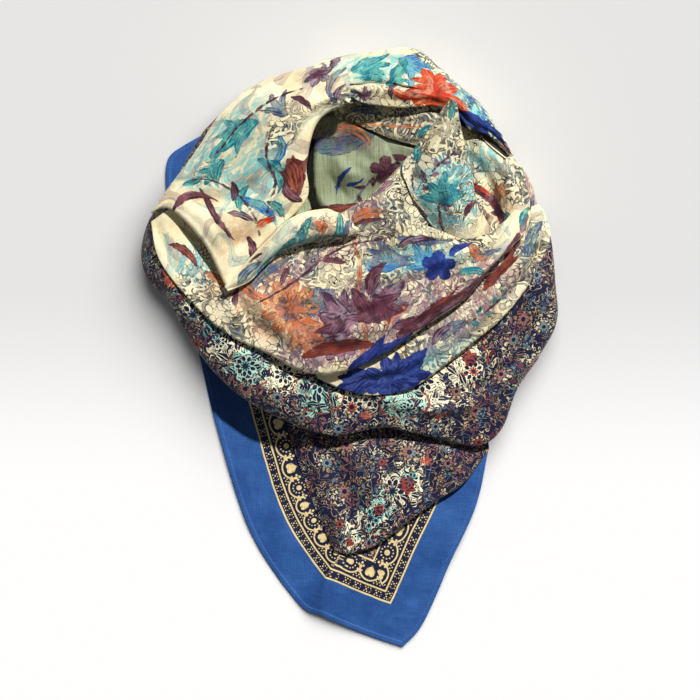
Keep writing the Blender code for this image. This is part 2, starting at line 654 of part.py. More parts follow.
def main():
    for obj in list(bpy.data.objects):
        bpy.data.objects.remove(obj)
    below = Below()
    points, faces = core_shape()
    below.add(points, faces)
    make_object("hidden_folds", points, faces, CORE_COLOR, CORE_ROUGHNESS)
    for name, table, per_span, color, roughness in STRETCHES:
        left = lay_stretch(name, table, per_span, color, roughness, below)
        if left > WORST_LIFT:
            print(f"{name} still needs {left:.2f} mm")


main()
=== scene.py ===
"""Looks for a silk square scarf, wound into a loose neck ring and laid down.

Plan sizes are in millimetres on a 700 mm square board, x across and y down from its far left corner,
and heights are in millimetres above the table. board_to_world turns both into metres in the frame.
Each stretch of cloth is lofted through a short table of sections, creased, rolled at its folded
edges, settled on the stretches below it and given its own thin wall.
"""

import json
import math

import bpy
import numpy as np
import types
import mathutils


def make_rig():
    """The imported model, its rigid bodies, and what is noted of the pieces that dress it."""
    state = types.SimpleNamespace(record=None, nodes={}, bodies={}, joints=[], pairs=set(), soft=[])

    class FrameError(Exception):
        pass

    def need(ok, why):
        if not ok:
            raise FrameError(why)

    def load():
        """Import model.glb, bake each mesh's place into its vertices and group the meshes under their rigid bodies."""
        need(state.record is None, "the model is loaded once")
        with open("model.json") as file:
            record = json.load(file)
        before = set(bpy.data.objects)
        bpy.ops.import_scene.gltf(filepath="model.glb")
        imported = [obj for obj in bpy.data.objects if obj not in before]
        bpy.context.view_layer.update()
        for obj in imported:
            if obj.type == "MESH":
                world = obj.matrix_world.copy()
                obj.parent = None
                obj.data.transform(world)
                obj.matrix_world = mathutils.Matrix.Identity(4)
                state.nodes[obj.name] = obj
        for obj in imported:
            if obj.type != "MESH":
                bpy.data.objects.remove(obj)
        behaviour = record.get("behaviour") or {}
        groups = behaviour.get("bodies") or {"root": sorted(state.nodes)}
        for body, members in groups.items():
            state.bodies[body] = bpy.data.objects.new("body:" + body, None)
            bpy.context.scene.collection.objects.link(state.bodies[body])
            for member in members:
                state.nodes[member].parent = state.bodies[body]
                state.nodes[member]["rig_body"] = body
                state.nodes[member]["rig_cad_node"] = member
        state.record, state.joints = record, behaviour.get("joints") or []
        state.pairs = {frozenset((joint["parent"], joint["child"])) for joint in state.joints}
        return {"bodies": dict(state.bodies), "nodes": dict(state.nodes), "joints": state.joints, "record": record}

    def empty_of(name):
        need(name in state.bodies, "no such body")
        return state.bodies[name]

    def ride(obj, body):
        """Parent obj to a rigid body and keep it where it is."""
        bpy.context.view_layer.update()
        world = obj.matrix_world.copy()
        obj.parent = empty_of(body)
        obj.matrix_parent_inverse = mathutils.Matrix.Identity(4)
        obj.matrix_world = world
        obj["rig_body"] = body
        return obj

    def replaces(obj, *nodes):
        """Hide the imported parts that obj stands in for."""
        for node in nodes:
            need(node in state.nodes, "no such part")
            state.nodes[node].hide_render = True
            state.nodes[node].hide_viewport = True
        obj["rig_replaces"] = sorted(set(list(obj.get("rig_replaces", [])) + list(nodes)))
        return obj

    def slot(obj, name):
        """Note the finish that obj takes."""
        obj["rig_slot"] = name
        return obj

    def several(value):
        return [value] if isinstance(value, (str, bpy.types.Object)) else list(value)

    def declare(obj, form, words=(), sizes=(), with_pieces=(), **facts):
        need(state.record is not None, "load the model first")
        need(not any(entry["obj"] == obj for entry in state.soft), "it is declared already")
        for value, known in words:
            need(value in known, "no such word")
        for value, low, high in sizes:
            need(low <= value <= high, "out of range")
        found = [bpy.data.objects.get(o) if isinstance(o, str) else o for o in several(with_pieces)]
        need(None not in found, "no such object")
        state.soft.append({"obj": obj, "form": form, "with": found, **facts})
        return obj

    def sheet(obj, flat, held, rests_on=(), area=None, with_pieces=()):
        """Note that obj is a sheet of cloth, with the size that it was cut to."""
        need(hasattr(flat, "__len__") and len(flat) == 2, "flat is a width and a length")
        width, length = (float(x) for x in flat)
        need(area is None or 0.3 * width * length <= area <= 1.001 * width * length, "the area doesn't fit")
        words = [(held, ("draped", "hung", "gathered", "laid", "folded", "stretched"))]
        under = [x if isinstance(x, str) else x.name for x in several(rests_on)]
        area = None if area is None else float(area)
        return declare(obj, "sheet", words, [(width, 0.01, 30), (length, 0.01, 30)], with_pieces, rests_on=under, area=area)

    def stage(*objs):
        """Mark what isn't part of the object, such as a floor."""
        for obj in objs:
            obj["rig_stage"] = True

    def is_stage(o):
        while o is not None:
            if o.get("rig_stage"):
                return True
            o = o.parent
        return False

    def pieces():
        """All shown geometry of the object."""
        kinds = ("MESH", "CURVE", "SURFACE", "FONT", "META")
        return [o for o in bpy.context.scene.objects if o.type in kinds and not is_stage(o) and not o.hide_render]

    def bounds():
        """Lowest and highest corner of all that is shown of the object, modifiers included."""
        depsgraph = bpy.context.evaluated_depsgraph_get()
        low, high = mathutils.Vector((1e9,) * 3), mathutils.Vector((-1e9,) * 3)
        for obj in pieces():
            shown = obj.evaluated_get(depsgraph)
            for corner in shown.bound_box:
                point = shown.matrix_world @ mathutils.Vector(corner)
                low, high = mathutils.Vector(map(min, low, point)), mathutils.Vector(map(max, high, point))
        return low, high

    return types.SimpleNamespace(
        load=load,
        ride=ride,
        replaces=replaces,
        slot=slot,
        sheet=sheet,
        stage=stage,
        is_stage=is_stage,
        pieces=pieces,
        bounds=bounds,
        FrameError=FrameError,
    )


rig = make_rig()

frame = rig.load()
CAD_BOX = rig.bounds()

bl_info = {
    "name": "Silk square scarf",
    "version": (1, 0, 0),
    "blender": (4, 5, 0),
    "location": "3D View > Sidebar > Scarf",
    "description": "Builds a printed silk square, wound into a neck ring and laid on a table",
    "category": "Add Mesh",
}

# The board, in millimetres: where the frame's origin lies on it, and its side.
BOARD_MIDDLE = (349.35, 349.16)
BOARD_SIDE = 700.0
MM = 0.001

# The cloth's form, in millimetres and degrees.
GAP = 0.35
"""Room between a stretch and what it lies on."""
LEAST_ROLL = 0.9
"""The radius that a roll keeps where there is no room for more."""
ROLL_ANGLES = tuple(range(15, 181, 15))
RETURN_STEPS = (1.5, 3.0, 4.5)
"""The mesh lines round a roll, and those of the cloth that runs back below it."""
CREASE_STEP = 6.0
CREASE_FADE = 0.3
"""The share of a crease's length over which each of its ends fades."""
RUMPLES = ((1.0, 1.0, 46.0), (0.5, 2.2, 27.0), (0.3, 2.6, 13.0))
"""The layers of soft unevenness: share of its height, squeeze across the cloth, size of the lumps."""
NOISE_CELLS = 64
LEAST_WALL = 0.4
"""The least height of the wall's upper sheet over the lower one, in half walls."""
SHARP_ANGLE = 58

# The hem: the mesh lines beside it, its step of measure, and its swell, which rises from the edge
# and falls again between two distances from it.
HEM_PLACES = (0.3, 0.8, 1.5, 2.3, 3.1, 3.9, 4.5, 5.0, 5.6, 6.4)
HEM_STEP = 3.0
HEM_SWELL = 0.55
HEM_RISE = 0.9
HEM_FALL = (4.6, 5.4)
FAR_FROM_HEM = 300.0

# The heap's plan grid, and how a stretch settles on it.
HEAP_CELL = 0.8
HEAP_HALVINGS = 2
LIFT_PASSES = 10
SETTLE_ROUNDS = 3
CLEAR_ENOUGH = 0.02

# The print on the cloth.
FAR = -60.0
"""The reach of a colour where none of its motifs is near."""
HEADING_SPAN = (0.15, 0.7)
"""The shares of a stretch between which its flat lines take their heading."""
PRINT_STEP = 4.0
VEIN_MARGIN = 1.5

# The hidden plies: reach and side height of the heap every 30 degrees, from board +x towards the far
# side, and the neck hollow's middle and half sizes.
CORE_MIDDLE = (352.0, 232.0)
CORE_REACH = (178, 160, 168, 158, 154, 156, 182, 172, 166, 158, 164, 186)
CORE_SIDE = (26, 34, 38, 40, 38, 28, 26, 28, 32, 34, 32, 22)
CORE_STEP = 30
CORE_SIDES = 240
CORE_SEED = 7
CORE_PLIES = 7
PLY_STEPS = 6
PLY_GROOVE = 2.2
PLY_SHARES = (0.7, 1.3)
PLY_WAVE = 1.6
PLY_WAVES = (3, 9)
PLY_PHASE = 6
CORE_BASE = (0.02, 0.6)
"""The rings of the underside, in shares of the reach."""
CORE_TOP = ((0.86, 0.55, 18.9), (0.62, 0, 42.0), (0.46, 0, 37.5), (0.30, 0, 33.0), (0.02, 0, 33.0))
"""The rings of the top: share of the reach, share of the side's height, and height above it."""
CORE_TOP_TONE = 0.8
HOLLOW = (330, 184, 62, 58)
HOLLOW_DEPTH = 20.0
HOLLOW_FLOOR = 0.4
"""The share of the hollow's half sizes that lies at its full depth."""
HOLLOW_FROM = 30.0
"""The hollow sinks what lies higher than this."""

COMPANIONS = {
    "slate": "sky",
    "mauve": "slate",
    "peach": "mauve",
    "sky": "teal",
    "teal": "sky",
    "plum": "mauve",
    "brick": "plum",
    "scarlet": "peach",
    "cobalt": "cobalt",
    "night": "night",
}
# The centre's painted colours, the later over the earlier, and their second light shade. The last is painted shade:
# near-black strokes where the neck hollow's left edge and the collar roll's underside fall into shadow.
"""The centre's painted colours, the later over the earlier, and their second light shade."""
CENTRE_COLOURS = (*COMPANIONS, "damask", "sage", "aqua", "rose", "dusk")
BAND_COLOURS = ("light", "mint", "brick", "turquoise")
BRUSHED_COLOURS = ("slate", "peach", "sky", "teal")
DRAWN_COLOURS = (*BRUSHED_COLOURS, "mauve")

# The hem's stitches, as a share of their step.
STITCH_SHARE = 0.68

# The studio, in metres; the camera's sensor is in millimetres.
FLOOR_HALF = 6.0
FLOOR_HEIGHT = -0.0003
SENSOR_WIDTH = 36.0
CAMERA_PLACE = (0.00065, -0.00084)
CAMERA_LIFT = 0.04
LAMP_COLOUR = (1.0, 0.985, 0.96)
FILL_COLOUR = (0.93, 0.96, 1.0)
FLOOR_FADE = (-0.14, 0.08)
# Between which y the table turns from its near colour to its far one: painted shade, the far part painted grey where
# the studio light falls off.
"""Between which y the table turns from its near colour to its far one."""

# The scarf in lines of words and numbers. Lengths are in board millimetres, and angles in degrees
# from board +x, counted towards the far side. The stretches are in laying order:
# stretch: name, silk, print, axis and anchor of its flat place, turn and shift of its grain
# rolls: its folded sides: edge is its last column, root its first column, end its last section
# hems: its hemmed sides: root is its first column, start its first section
# on: the pieces that it rests on
# numbers alone: one section, as x, y, height of each point across it, then the radius of its roll
# sharp, soft: one crease, as its height, its width and x, y of the points along it
# print: a print's name. One motif a line follows, the later over the earlier:
# leaf: colour, x, y of its foot, angle, length, width, bend
# fan: colour, x, y of its foot, angle of the middle leaf, spread, length, width, leaves
# flower: colour, x, y, radius, petals, angle
# bloom: outer and inner colour, x, y, radius, petals, angle
# patch: colour, x, y, half width, half height, angle
# ring: colour, x, y, half width, half height, angle, line
# stem: colour, line, x, y of the points along it
# spray: colour, leaf length, leaf width, leaves, x, y of the points along its stem
# Two near-black stem strokes, in the neck and shoulder prints, are painted shade and not print: one along the neck
# hollow's left edge, where a deep gap falls into shadow, and one on the strip under the collar roll's end.
NOTES = """
stretch back_corner border none 1 0 0 0 0
hems root
on table
215 124 2 219 131 3 223 138 3 0
199 134 2 206 142 4 213 150 3 0
183 143 2 193 152 4 203 162 3 0
169 153 2 182 163 4 194 172 3 0
164 167 2 175 176 4 186 184 3 0
164 190 2 172 193 4 180 196 3 0
166 210 2 171 211 3 176 212 3 0
soft 1 10 168 200 180 172 206 146
stretch front_corner border none 1 0.3 0 0 0
hems root start
on table
403 650 2 424 625 3 453 560 6 477 507 6 490 448 8 0
365 637 3 401 609 5 434 545 10 453 490 12 468 432 14 0
323 619 7 338 585 13 386 532 16 414 478 18 440 420 20 0
296 604 2 314 577 7 366 520 15 398 466 18 424 412 21 0
249 533 2 279 513 6 334 478 14 372 440 18 396 402 22 0
216 430 2 253 424 5 300 410 14 338 402 18 364 398 22 0
197 352 3 214 360 5 240 376 10 272 388 14 305 396 18 0
sharp 3.2 15 318 618 326 584 332 570 344 540
soft -1.6 16 296 596 316 560 330 530
soft 1.4 18 262 500 280 528 306 560
soft 1.2 16 478 540 450 545 424 560
soft -1 14 470 580 440 572 416 580
soft 1.2 20 214 400 236 470 266 540
soft 1.2 12 380 640 392 612 404 596
stretch front_drape border drape 1 0.5 35 210 90
rolls edge
on front_corner_silk
290 392 30 286 420 16 306 486 11 334 552 12 1.5
312 392 34 315 425 22 334 485 19 350 555 19 4
345 392 36 352 425 24 368 478 27 378 545 25 6
385 392 37 392 425 26 404 470 31 410 521 28 7
425 390 37 430 425 27 438 460 30 440 500 26 7
458 385 36 464 420 26 466 450 26 465 483 23 6
484 380 32 486 405 24 488 430 19 490 450 16 3
sharp 5.1 16 414 478 396 504 366 540
soft -3.6 16 330 450 346 490 352 530
soft 3 12 306 430 318 480 334 530
sharp 2.7 12 440 440 452 462 462 480
soft -2.7 12 430 446 432 470 424 500
soft -2.2 12 374 440 388 466 380 500
stretch ring_band border band 1 0.4 -20 500 300
on hidden_plies front_drape_silk
246 128 26 233 118 24 220 113 16 223 117 9 0
226 152 34 214 143 31 202 133 20 206 138 10 0
206 184 40 193 176 37 180 170 24 184 175 11 0
190 208 42 175 201 40 161 198 25 166 202 11 0
182 230 45 160 224 43 146 226 26 151 229 10 0
182 252 46 157 250 44 141 254 27 146 256 10 0
196 276 47 165 276 46 148 280 29 152 280 11 0
214 286 48 183 295 47 167 300 32 171 298 14 0
234 306 49 202 320 48 185 330 34 189 327 17 0
257 326 50 226 347 50 206 361 37 211 357 20 0
280 346 51 252 375 52 236 392 40 241 387 23 0
308 362 51 291 397 52 279 417 41 283 411 25 0
340 368 50 335 409 46 329 435 38 331 428 26 0
378 366 50 380 403 50 382 427 40 382 420 28 0
425 352 49 430 403 48 430 435 38 430 428 27 0
452 340 48 464 403 46 475 444 34 472 437 22 0
474 328 47 491 393 42 501 429 30 498 422 14 0
488 314 46 507 367 44 518 387 30 514 381 13 0
502 294 45 527 337 42 541 352 29 537 347 11 0
514 276 45 542 306 44 557 320 28 552 316 10 0
522 256 44 544 276 42 556 284 28 551 282 10 0
524 236 43 541 240 41 552 240 28 547 240 12 0
524 218 40 536 220 39 545 221 28 541 221 12 0
sharp 5.4 14 548 266 520 318 486 352 452 366
soft -3.1 12 552 300 520 348 480 388 440 400
sharp 5.1 12 540 350 506 380 470 404 420 414
soft -2.7 10 528 350 512 372 498 408
soft -2.3 9 538 274 508 322 470 350 430 372
soft 2.9 8 546 318 516 354 484 372 452 384
sharp 2.9 8 520 362 494 392 464 412
soft -2.5 15 322 372 326 400 318 440
soft 3.5 14 296 360 312 384 316 412
soft 3.2 12 340 380 380 396 430 408 480 400
soft -1.7 12 330 408 380 416 440 426
soft 2.9 12 158 262 180 300 216 334 262 366
soft -1.6 10 172 280 200 320 240 352
sharp 2.6 9 150 228 160 250 166 276
soft -1.3 9 206 318 222 340 232 372
soft 2.2 9 252 348 266 372 270 400
stretch neck_inside centre neck 1 0.5 4 900 120
rolls edge
on hidden_plies
284 240 44 286 190 38 294 136 42 3
318 242 44 314 180 36 313 120 47 4
350 240 45 344 174 38 336 114 51 5
385 230 47 376 178 42 362 127 54 5
412 215 49 402 183 47 385 137 56 5
432 200 50 420 182 50 404 145 57 4
446 186 51 436 172 53 422 151 58 3
soft 10 30 338 186 356 172 392 156
soft -18 12 308 136 305 166 307 194 317 213 342 226
soft 1.6 10 330 150 346 168 370 182
soft -1.6 9 348 144 372 158 402 168
stretch right_edge_fold centre edge 1 0.4 20 1300 210
on hidden_plies
488 168 45 502 162 46 513 157 34 508 161 12 0
496 178 46 510 171 48 521 166 34 516 170 12 0
505 196 47 521 187 50 531 183 34 526 186 12 0
510 211 46 526 205 48 537 202 34 532 204 12 0
512 226 45 527 221 46 540 217 34 536 219 18 0
512 240 45 526 236 46 538 232 44 537 233 42 0
soft 1.2 7 500 180 524 212 530 250
stretch collar_lip centre lip 1 0.4 0 1700 40
on hidden_plies
328 98 56 331 106 52 334 113 49 336 119 46 0
350 97 62 352 109 61 355 117 59 357 125 55 0
375 96 66 377 111 68 380 123 66 382 136 60 0
400 96 67 402 114 70 404 128 68 406 144 61 0
425 96 68 427 114 72 428 129 70 430 148 62 0
448 96 68 449 113 72 450 127 70 452 146 62 0
soft -2 7 352 116 384 124 430 126
soft 1.4 7 380 132 410 138 440 136
stretch right_fold centre right 1 0.5 70 2100 330
rolls edge
on right_edge_fold_silk
440 122 54 457 126 57 470 131 57 481 138 52 4
446 146 54 467 148 61 483 150 63 496 153 57 5
455 168 54 480 168 60 502 168 66 520 166 60 7
462 190 53 485 190 57 508 190 65 526 186 59 7
470 212 52 492 213 54 513 212 63 529 208 57 6
474 235 52 494 236 53 510 235 58 523 231 54 5
476 256 53 489 257 54 500 257 55 509 253 54 3
sharp 2.9 9 458 132 486 150 506 176 514 210
soft -2.9 9 462 150 484 176 496 214 496 250
soft 2.2 8 470 190 486 214 488 246
stretch back_panel centre shoulder 1 0.4 0 0 0
on hidden_plies right_fold_silk
296 130 66 289 116 67 283 104 65 279 94 52 281 97 46 0
316 112 72 311 102 74 304 88 74 300 73 46 303 78 14 0
344 106 74 341 95 76 336 78 77 331 59 48 334 66 12 0
375 103 76 373 91 79 371 74 78 368 54 48 370 61 11 0
405 104 76 405 91 79 407 71 78 410 49 48 409 57 11 0
429 106 75 432 95 77 436 82 75 438 66 46 435 72 11 0
447 115 71 450 105 73 455 96 71 457 84 44 453 90 12 0
463 121 70 467 115 71 471 110 67 475 100 42 470 106 12 0
478 136 64 481 131 65 485 124 63 487 114 40 483 119 12 0
491 149 60 494 146 61 498 142 59 501 136 42 497 141 22 0
505 160 57 507 158 58 510 157 56 513 155 48 511 157 45 0
sharp 3.1 16 410 46 406 70 402 100
soft -2.2 16 430 60 436 84 440 110
soft 2.2 12 340 70 380 66 404 60
soft 2 10 440 84 470 104 496 140
stretch collar_roll centre shoulder 1 0.5 0 0 0
rolls root edge
on back_panel_silk
325 88 72 326 93 74 327 97 72 3
345 83 77 347 91 80 349 99 77 4
358 80 79 360 92 85 362 105 80 6
372 78 80 374 91 86 376 108 82 6
400 81 80 401 95 87 402 110 82 6
428 88 80 430 98 86 432 108 81 5
450 88 79 453 102 84 455 116 79 5
469 107 76 470 119 80 470 132 74 5
484 120 71 485 128 74 486 136 70 4
499 134 66 500 140 68 500 146 65 3
509 150 62 510 154 63 511 158 61 2
soft 0.8 6 430 100 456 108 482 126
soft -1.2 7 352 94 368 88 392 90
soft 1.2 9 384 84 404 98 430 104
stretch neck_fold centre neck_fold 1 0.5 40 2500 60
rolls edge
on neck_inside_silk
448 142 66 436 144 70 422 147 66 2
440 165 71 424 164 75 405 162 71 4
432 192 71 411 186 77 388 179 71 6
430 216 68 398 203 78 368 198 72 7
420 236 66 384 222 77 350 209 73 7
392 244 62 362 233 74 335 218 68 5
soft 2.2 10 410 176 388 196 356 214
soft -2 8 420 206 392 214 366 226
sharp 1.7 7 396 186 378 204 366 222
stretch peak_fold centre peak 1 0.5 -30 2900 170
rolls root edge
on neck_fold_silk right_fold_silk
447 105 90 451 103 91 455 105 89 2
439 116 86 449 118 89 458 121 85 3
428 132 82 444 134 88 462 137 81 4
414 150 79 438 154 86 467 156 77 4
402 168 75 436 174 85 471 177 73 1
407 188 76 440 195 83 474 195 70 0.2
419 211 72 449 214 78 481 213 65 0.2
436 232 66 463 233 70 490 231 60 0.2
450 250 58 470 252 60 491 250 56 0.2
sharp 2.9 9 451 104 444 132 428 158 412 176
soft -2.1 8 452 118 456 150 458 190 470 220
soft 1.8 9 440 160 444 190 462 226
stretch outer_swag centre outer 1 0.5 60 3300 280
rolls edge
on ring_band_silk
300 345 54 310 362 55 318 378 54 2
330 348 56 338 370 58 345 390 55 4
365 345 58 370 370 61 374 395 56 6
400 330 60 405 362 62 409 389 57 6
430 312 61 434 345 62 438 370 57 5
454 285 62 466 318 63 472 343 57 4
482 262 62 494 292 63 503 317 55 4
503 238 60 517 264 61 527 286 52 4
519 226 57 533 241 58 545 253 48 4
529 215 55 540 222 55 550 232 45 3
531 207 53 537 205 53 543 209 46 2
sharp 4.4 9 541 228 522 262 494 294 446 332
soft -4.4 9 530 228 510 254 480 284 430 322
soft -3.1 6 544 236 536 256 518 284 492 312
soft 3.1 9 500 300 460 332 410 364 350 376
soft -2.5 8 440 350 400 372 350 384
stretch inner_swag centre swag 1 0.5 20 3700 20
rolls edge
on ring_band_silk outer_swag_silk
200 196 44 178 204 50 164 213 49 151 222 45 4
226 225 42 202 235 43 178 246 50 159 258 48 5
250 245 50 224 262 51 203 278 53 184 293 53 6
276 238 64 256 272 64 238 301 63 222 330 58 7
305 230 68 291 266 70 276 311 69 262 351 62 8
335 230 71 326 266 72 317 321 74 309 373 67 8
368 224 75 364 260 74 357 320 75 350 370 71 8
400 220 77 400 254 76 397 306 76 389 351 74 7
430 228 75 437 252 77 437 288 77 428 324 76 7
460 238 69 467 255 74 471 275 76 466 298 75 7
485 236 64 492 244 71 495 254 74 494 265 72 6
501 225 62 507 231 68 511 238 71 514 246 68 5
511 213 60 517 218 66 522 222 67 526 227 63 4
516 204 60 521 206 64 526 207 64 530 208 60 3
sharp 5.8 10 522 216 508 240 484 268 452 295 404 326
soft -5.1 10 504 230 484 251 458 274 420 304
soft 4.1 12 500 232 460 254 410 272 350 280
soft -3.4 13 486 238 440 246 390 256 330 266
soft 3.4 16 460 290 416 310 356 330 296 334
soft -3.1 14 440 296 390 314 330 316
soft -3.1 12 392 334 350 350 304 344
soft 3.4 13 246 282 270 312 312 352
soft -3.1 11 230 290 256 326 290 352
soft -2.7 10 270 268 304 254 346 244 400 236
sharp 2.4 6 506 222 500 230 490 236
sharp 2 5 512 222 507 232 498 240
stretch back_wrap centre shoulder 0 0.75 0 0 0
rolls edge end
on inner_swag_silk back_panel_silk
345 62 50 269 84 14 228 117 20 202 154 30 178 189 38 159 213 42 2
345 61 57 266 80 38 223 112 40 197 151 42 171 186 46 152 213 50 4
348 76 80 275 101 78 240 134 72 212 166 64 192 190 60 172 210 59 4
350 91 87 292 117 86 270 157 80 250 192 73 228 218 68 204 243 64 5
351 104 84 319 123 84 307 165 81 306 202 76 264 245 71 227 288 66 5
soft 2.7 13 318 118 300 150 292 190 276 222
soft -2.7 11 304 124 286 154 276 190 258 222
soft 4.3 18 300 190 270 208 236 226 206 236
soft -4.1 15 296 168 262 184 226 200 186 204
soft -3.2 12 302 214 276 232 250 244 226 250
sharp 2.4 12 290 216 262 238 236 262
soft 2.4 14 322 100 288 130 262 164 238 196
soft -3.5 12 300 104 268 128 240 160 214 186
soft 3 11 296 84 252 112 216 148 190 184
soft -2.7 9 336 66 284 86 240 118 206 152
sharp 2.2 8 344 98 322 104 306 118 298 138
soft 1.6 9 166 214 184 206 204 220 226 256
stretch front_roll centre roll 1 0.5 35 4100 150
rolls root edge end
on inner_swag_silk back_wrap_silk
225 287 70 226 288 71 227 289 72 228 290 71 229 292 70 1
239 272 72 241 274 76 244 276 78 248 279 76 250 282 72 1
255 255 73 257 257 79 261 259 82 265 262 79 267 265 73 1
272 238 74 274 240 81 278 244 85 282 249 81 284 252 74 1
287 223 75 289 226 84 295 234 88 300 242 84 302 246 75 1
304 214 75 306 217 85 311 227 89 316 237 85 318 242 76 1
326 210 75 327 213 85 330 224 88 333 235 85 334 240 76 1
336 213 76 338 216 84 343 227 86 348 236 82 349 239 77 1
345 216 79 347 218 82 353 225 83 358 230 82 360 232 80 0.5
soft -0.9 5 236 282 250 270 262 262
soft 0.8 6 284 236 300 228 316 224
print drape
bloom light brick 408 486 20 7 50
patch light 376 524 28 11 35
leaf turquoise 402 492 60 26 9 0.1
leaf turquoise 366 534 30 34 10 0.1
leaf mint 386 512 100 22 8 0.1
fan brick 424 466 70 120 13 4 5
fan brick 350 546 60 100 12 4 4
bloom mint brick 382 510 13 6 10
print band
patch light 196 304 14 16 45
patch light 232 346 22 20 20
patch turquoise 214 326 12 9 40
patch brick 176 276 12 14 40
patch light 282 374 34 20 -14
patch light 352 396 30 16 -10
patch light 412 392 34 22 6
patch light 462 366 20 20 30
bloom mint light 250 366 22 8 10
ring brick 250 366 23 23 0 1.7
ring brick 250 366 12 12 0 1.3
bloom mint light 318 394 24 8 30
ring brick 318 394 27 20 -16 1.7
ring brick 318 394 13 10 -16 1.3
bloom mint light 404 404 22 8 0
ring brick 404 404 26 18 8 1.7
ring brick 404 404 12 9 8 1.3
bloom light brick 468 356 18 7 20
ring brick 468 356 19 19 0 1.6
fan brick 366 420 90 130 13 4 5
fan brick 438 422 80 120 12 4 5
patch turquoise 184 290 9 7 0
print neck
patch sage 360 180 120 90 0
patch dusk 330 134 44 12 -10
leaf slate 300 142 12 84 19 -0.14
leaf peach 336 126 -32 40 12 0.16
spray plum 15 7 6 410 158 386 168 364 188 352 212
leaf brick 306 212 4 64 16 -0.05
bloom plum teal 386 172 17 5 20
stem night 5 311 140 309 170 311 196 320 213 338 221
leaf cobalt 336 196 58 34 5 0.15
leaf cobalt 344 186 20 20 4 -0.15
print edge
patch dusk 526 200 26 40 0
leaf slate 528 236 78 44 12 0.1
print lip
patch damask 390 115 90 40 0
stem peach 1.5 330 120 380 128 450 128
leaf teal 416 140 20 38 9 0.1
leaf slate 352 112 -10 34 7 0.1
print right
patch damask 490 190 60 90 0
patch aqua 480 160 20 14 0
patch rose 500 214 16 20 0
stem plum 4.6 458 184 478 194 494 210 506 238
leaf scarlet 466 188 -30 30 4 0.1
fan peach 492 206 62 60 34 8 3
leaf mauve 486 214 -20 26 8 0.1
fan teal 506 234 66 60 32 9 3
leaf cobalt 514 230 74 22 7 0.1
print shoulder
patch damask 452 74 46 30 -40
patch damask 288 122 16 30 -30
patch damask 384 104 66 16 4
patch damask 206 168 22 12 40
patch aqua 224 128 58 24 42
patch aqua 250 168 40 20 60
patch aqua 266 192 34 20 70
patch aqua 372 66 46 15 -6
patch aqua 196 180 20 12 30
patch aqua 470 104 40 16 -48
patch dusk 318 74 20 10 -30
patch rose 248 226 40 12 50
patch rose 180 206 30 8 10
fan slate 292 112 128 70 40 9 3
leaf slate 346 66 -110 38 8 -0.2
leaf slate 330 104 8 30 7 0.1
fan sky 398 62 -20 90 40 14 4
leaf sky 232 190 -44 62 12 0.16
leaf sky 282 130 -110 40 8 0.2
spray sky 20 5 11 462 92 478 104 492 126 504 148
fan teal 262 112 205 60 66 15 4
fan teal 226 150 236 50 48 11 3
leaf teal 214 162 60 40 9 0.2
fan teal 352 76 24 70 46 16 4
leaf teal 262 150 -70 48 11 0.2
leaf teal 252 176 -100 40 9 -0.2
leaf teal 268 200 -60 30 8 0.1
leaf teal 176 188 30 30 8 -0.1
leaf teal 386 88 54 34 13 -0.1
bloom mauve plum 318 70 15 6 20
leaf mauve 330 66 62 22 9 0.1
fan mauve 366 106 96 70 22 7 3
leaf mauve 336 104 60 20 6 0.1
leaf mauve 226 214 -20 34 8 0.15
stem plum 1.3 184 182 212 176 236 184 252 206 260 236
leaf plum 160 224 20 62 10 0.2
leaf plum 196 190 -52 66 9 -0.1
leaf plum 248 236 -70 40 8 0.1
leaf plum 236 172 -96 26 9 0.1
stem plum 1.2 212 150 238 120 270 96 306 84
stem plum 1.1 276 120 270 148 276 180 268 214
leaf plum 296 92 -50 26 6 0.2
leaf plum 392 104 74 22 5 0.2
fan brick 298 206 96 44 54 15 3
leaf brick 288 160 -80 46 16 0.1
leaf plum 300 214 112 40 9 0.1
leaf scarlet 256 230 24 22 8 0.1
bloom scarlet brick 432 94 24 7 10
leaf scarlet 438 98 -36 40 12 0.1
leaf scarlet 414 100 160 24 11 0.1
leaf brick 402 96 -4 34 10 0.1
fan cobalt 470 122 -30 70 30 9 4
leaf cobalt 486 130 -40 22 7 0.1
leaf cobalt 456 116 -38 40 17 0.1
leaf mauve 494 142 -40 24 8 0.1
stem night 3.2 474 134 484 141 494 150 506 160
print neck_fold
patch damask 390 190 60 50 0
patch dusk 360 214 24 10 24
leaf peach 352 222 16 34 12 0.1
leaf mauve 372 196 30 30 7 0.1
leaf plum 350 228 2 48 7 0.1
leaf teal 400 172 70 20 8 0.1
print peak
patch damask 446 150 60 90 0
patch aqua 446 196 34 34 0
spray mauve 16 5 7 418 196 434 170 462 150
fan teal 444 206 92 150 34 14 5
fan sky 446 204 84 100 26 8 4
leaf teal 450 104 -96 22 8 0.1
leaf teal 416 166 88 24 8 0.1
flower mauve 444 204 9 6 40
stem plum 1.7 438 208 440 226 450 246
stem plum 1.9 410 178 414 206 432 234
leaf plum 462 222 40 26 6 0.1
print outer
patch damask 470 310 120 60 40
patch dusk 470 312 60 16 40
patch aqua 440 352 30 12 30
fan cobalt 384 384 26 90 58 23 4
fan cobalt 380 380 186 60 50 22 4
flower cobalt 390 380 26 7 0
leaf sky 380 376 12 26 5 0.1
leaf brick 482 290 44 52 11 0.1
leaf brick 504 262 60 30 9 0.1
leaf slate 440 340 32 38 12 0.1
leaf mauve 432 344 44 28 9 0.1
spray teal 14 5 7 464 326 492 306 520 276
leaf slate 524 256 64 40 13 0.1
print swag
patch damask 330 300 190 110 20
patch rose 288 310 56 34 -20
patch dusk 380 320 84 40 20
patch dusk 470 280 50 12 34
patch dusk 300 268 60 9 24
patch aqua 416 258 44 14 10
patch rose 246 270 30 10 30
patch aqua 190 262 22 14 -40
leaf slate 248 296 38 64 10 0.12
leaf brick 300 358 6 84 15 0.06
fan slate 412 262 172 60 56 15 4
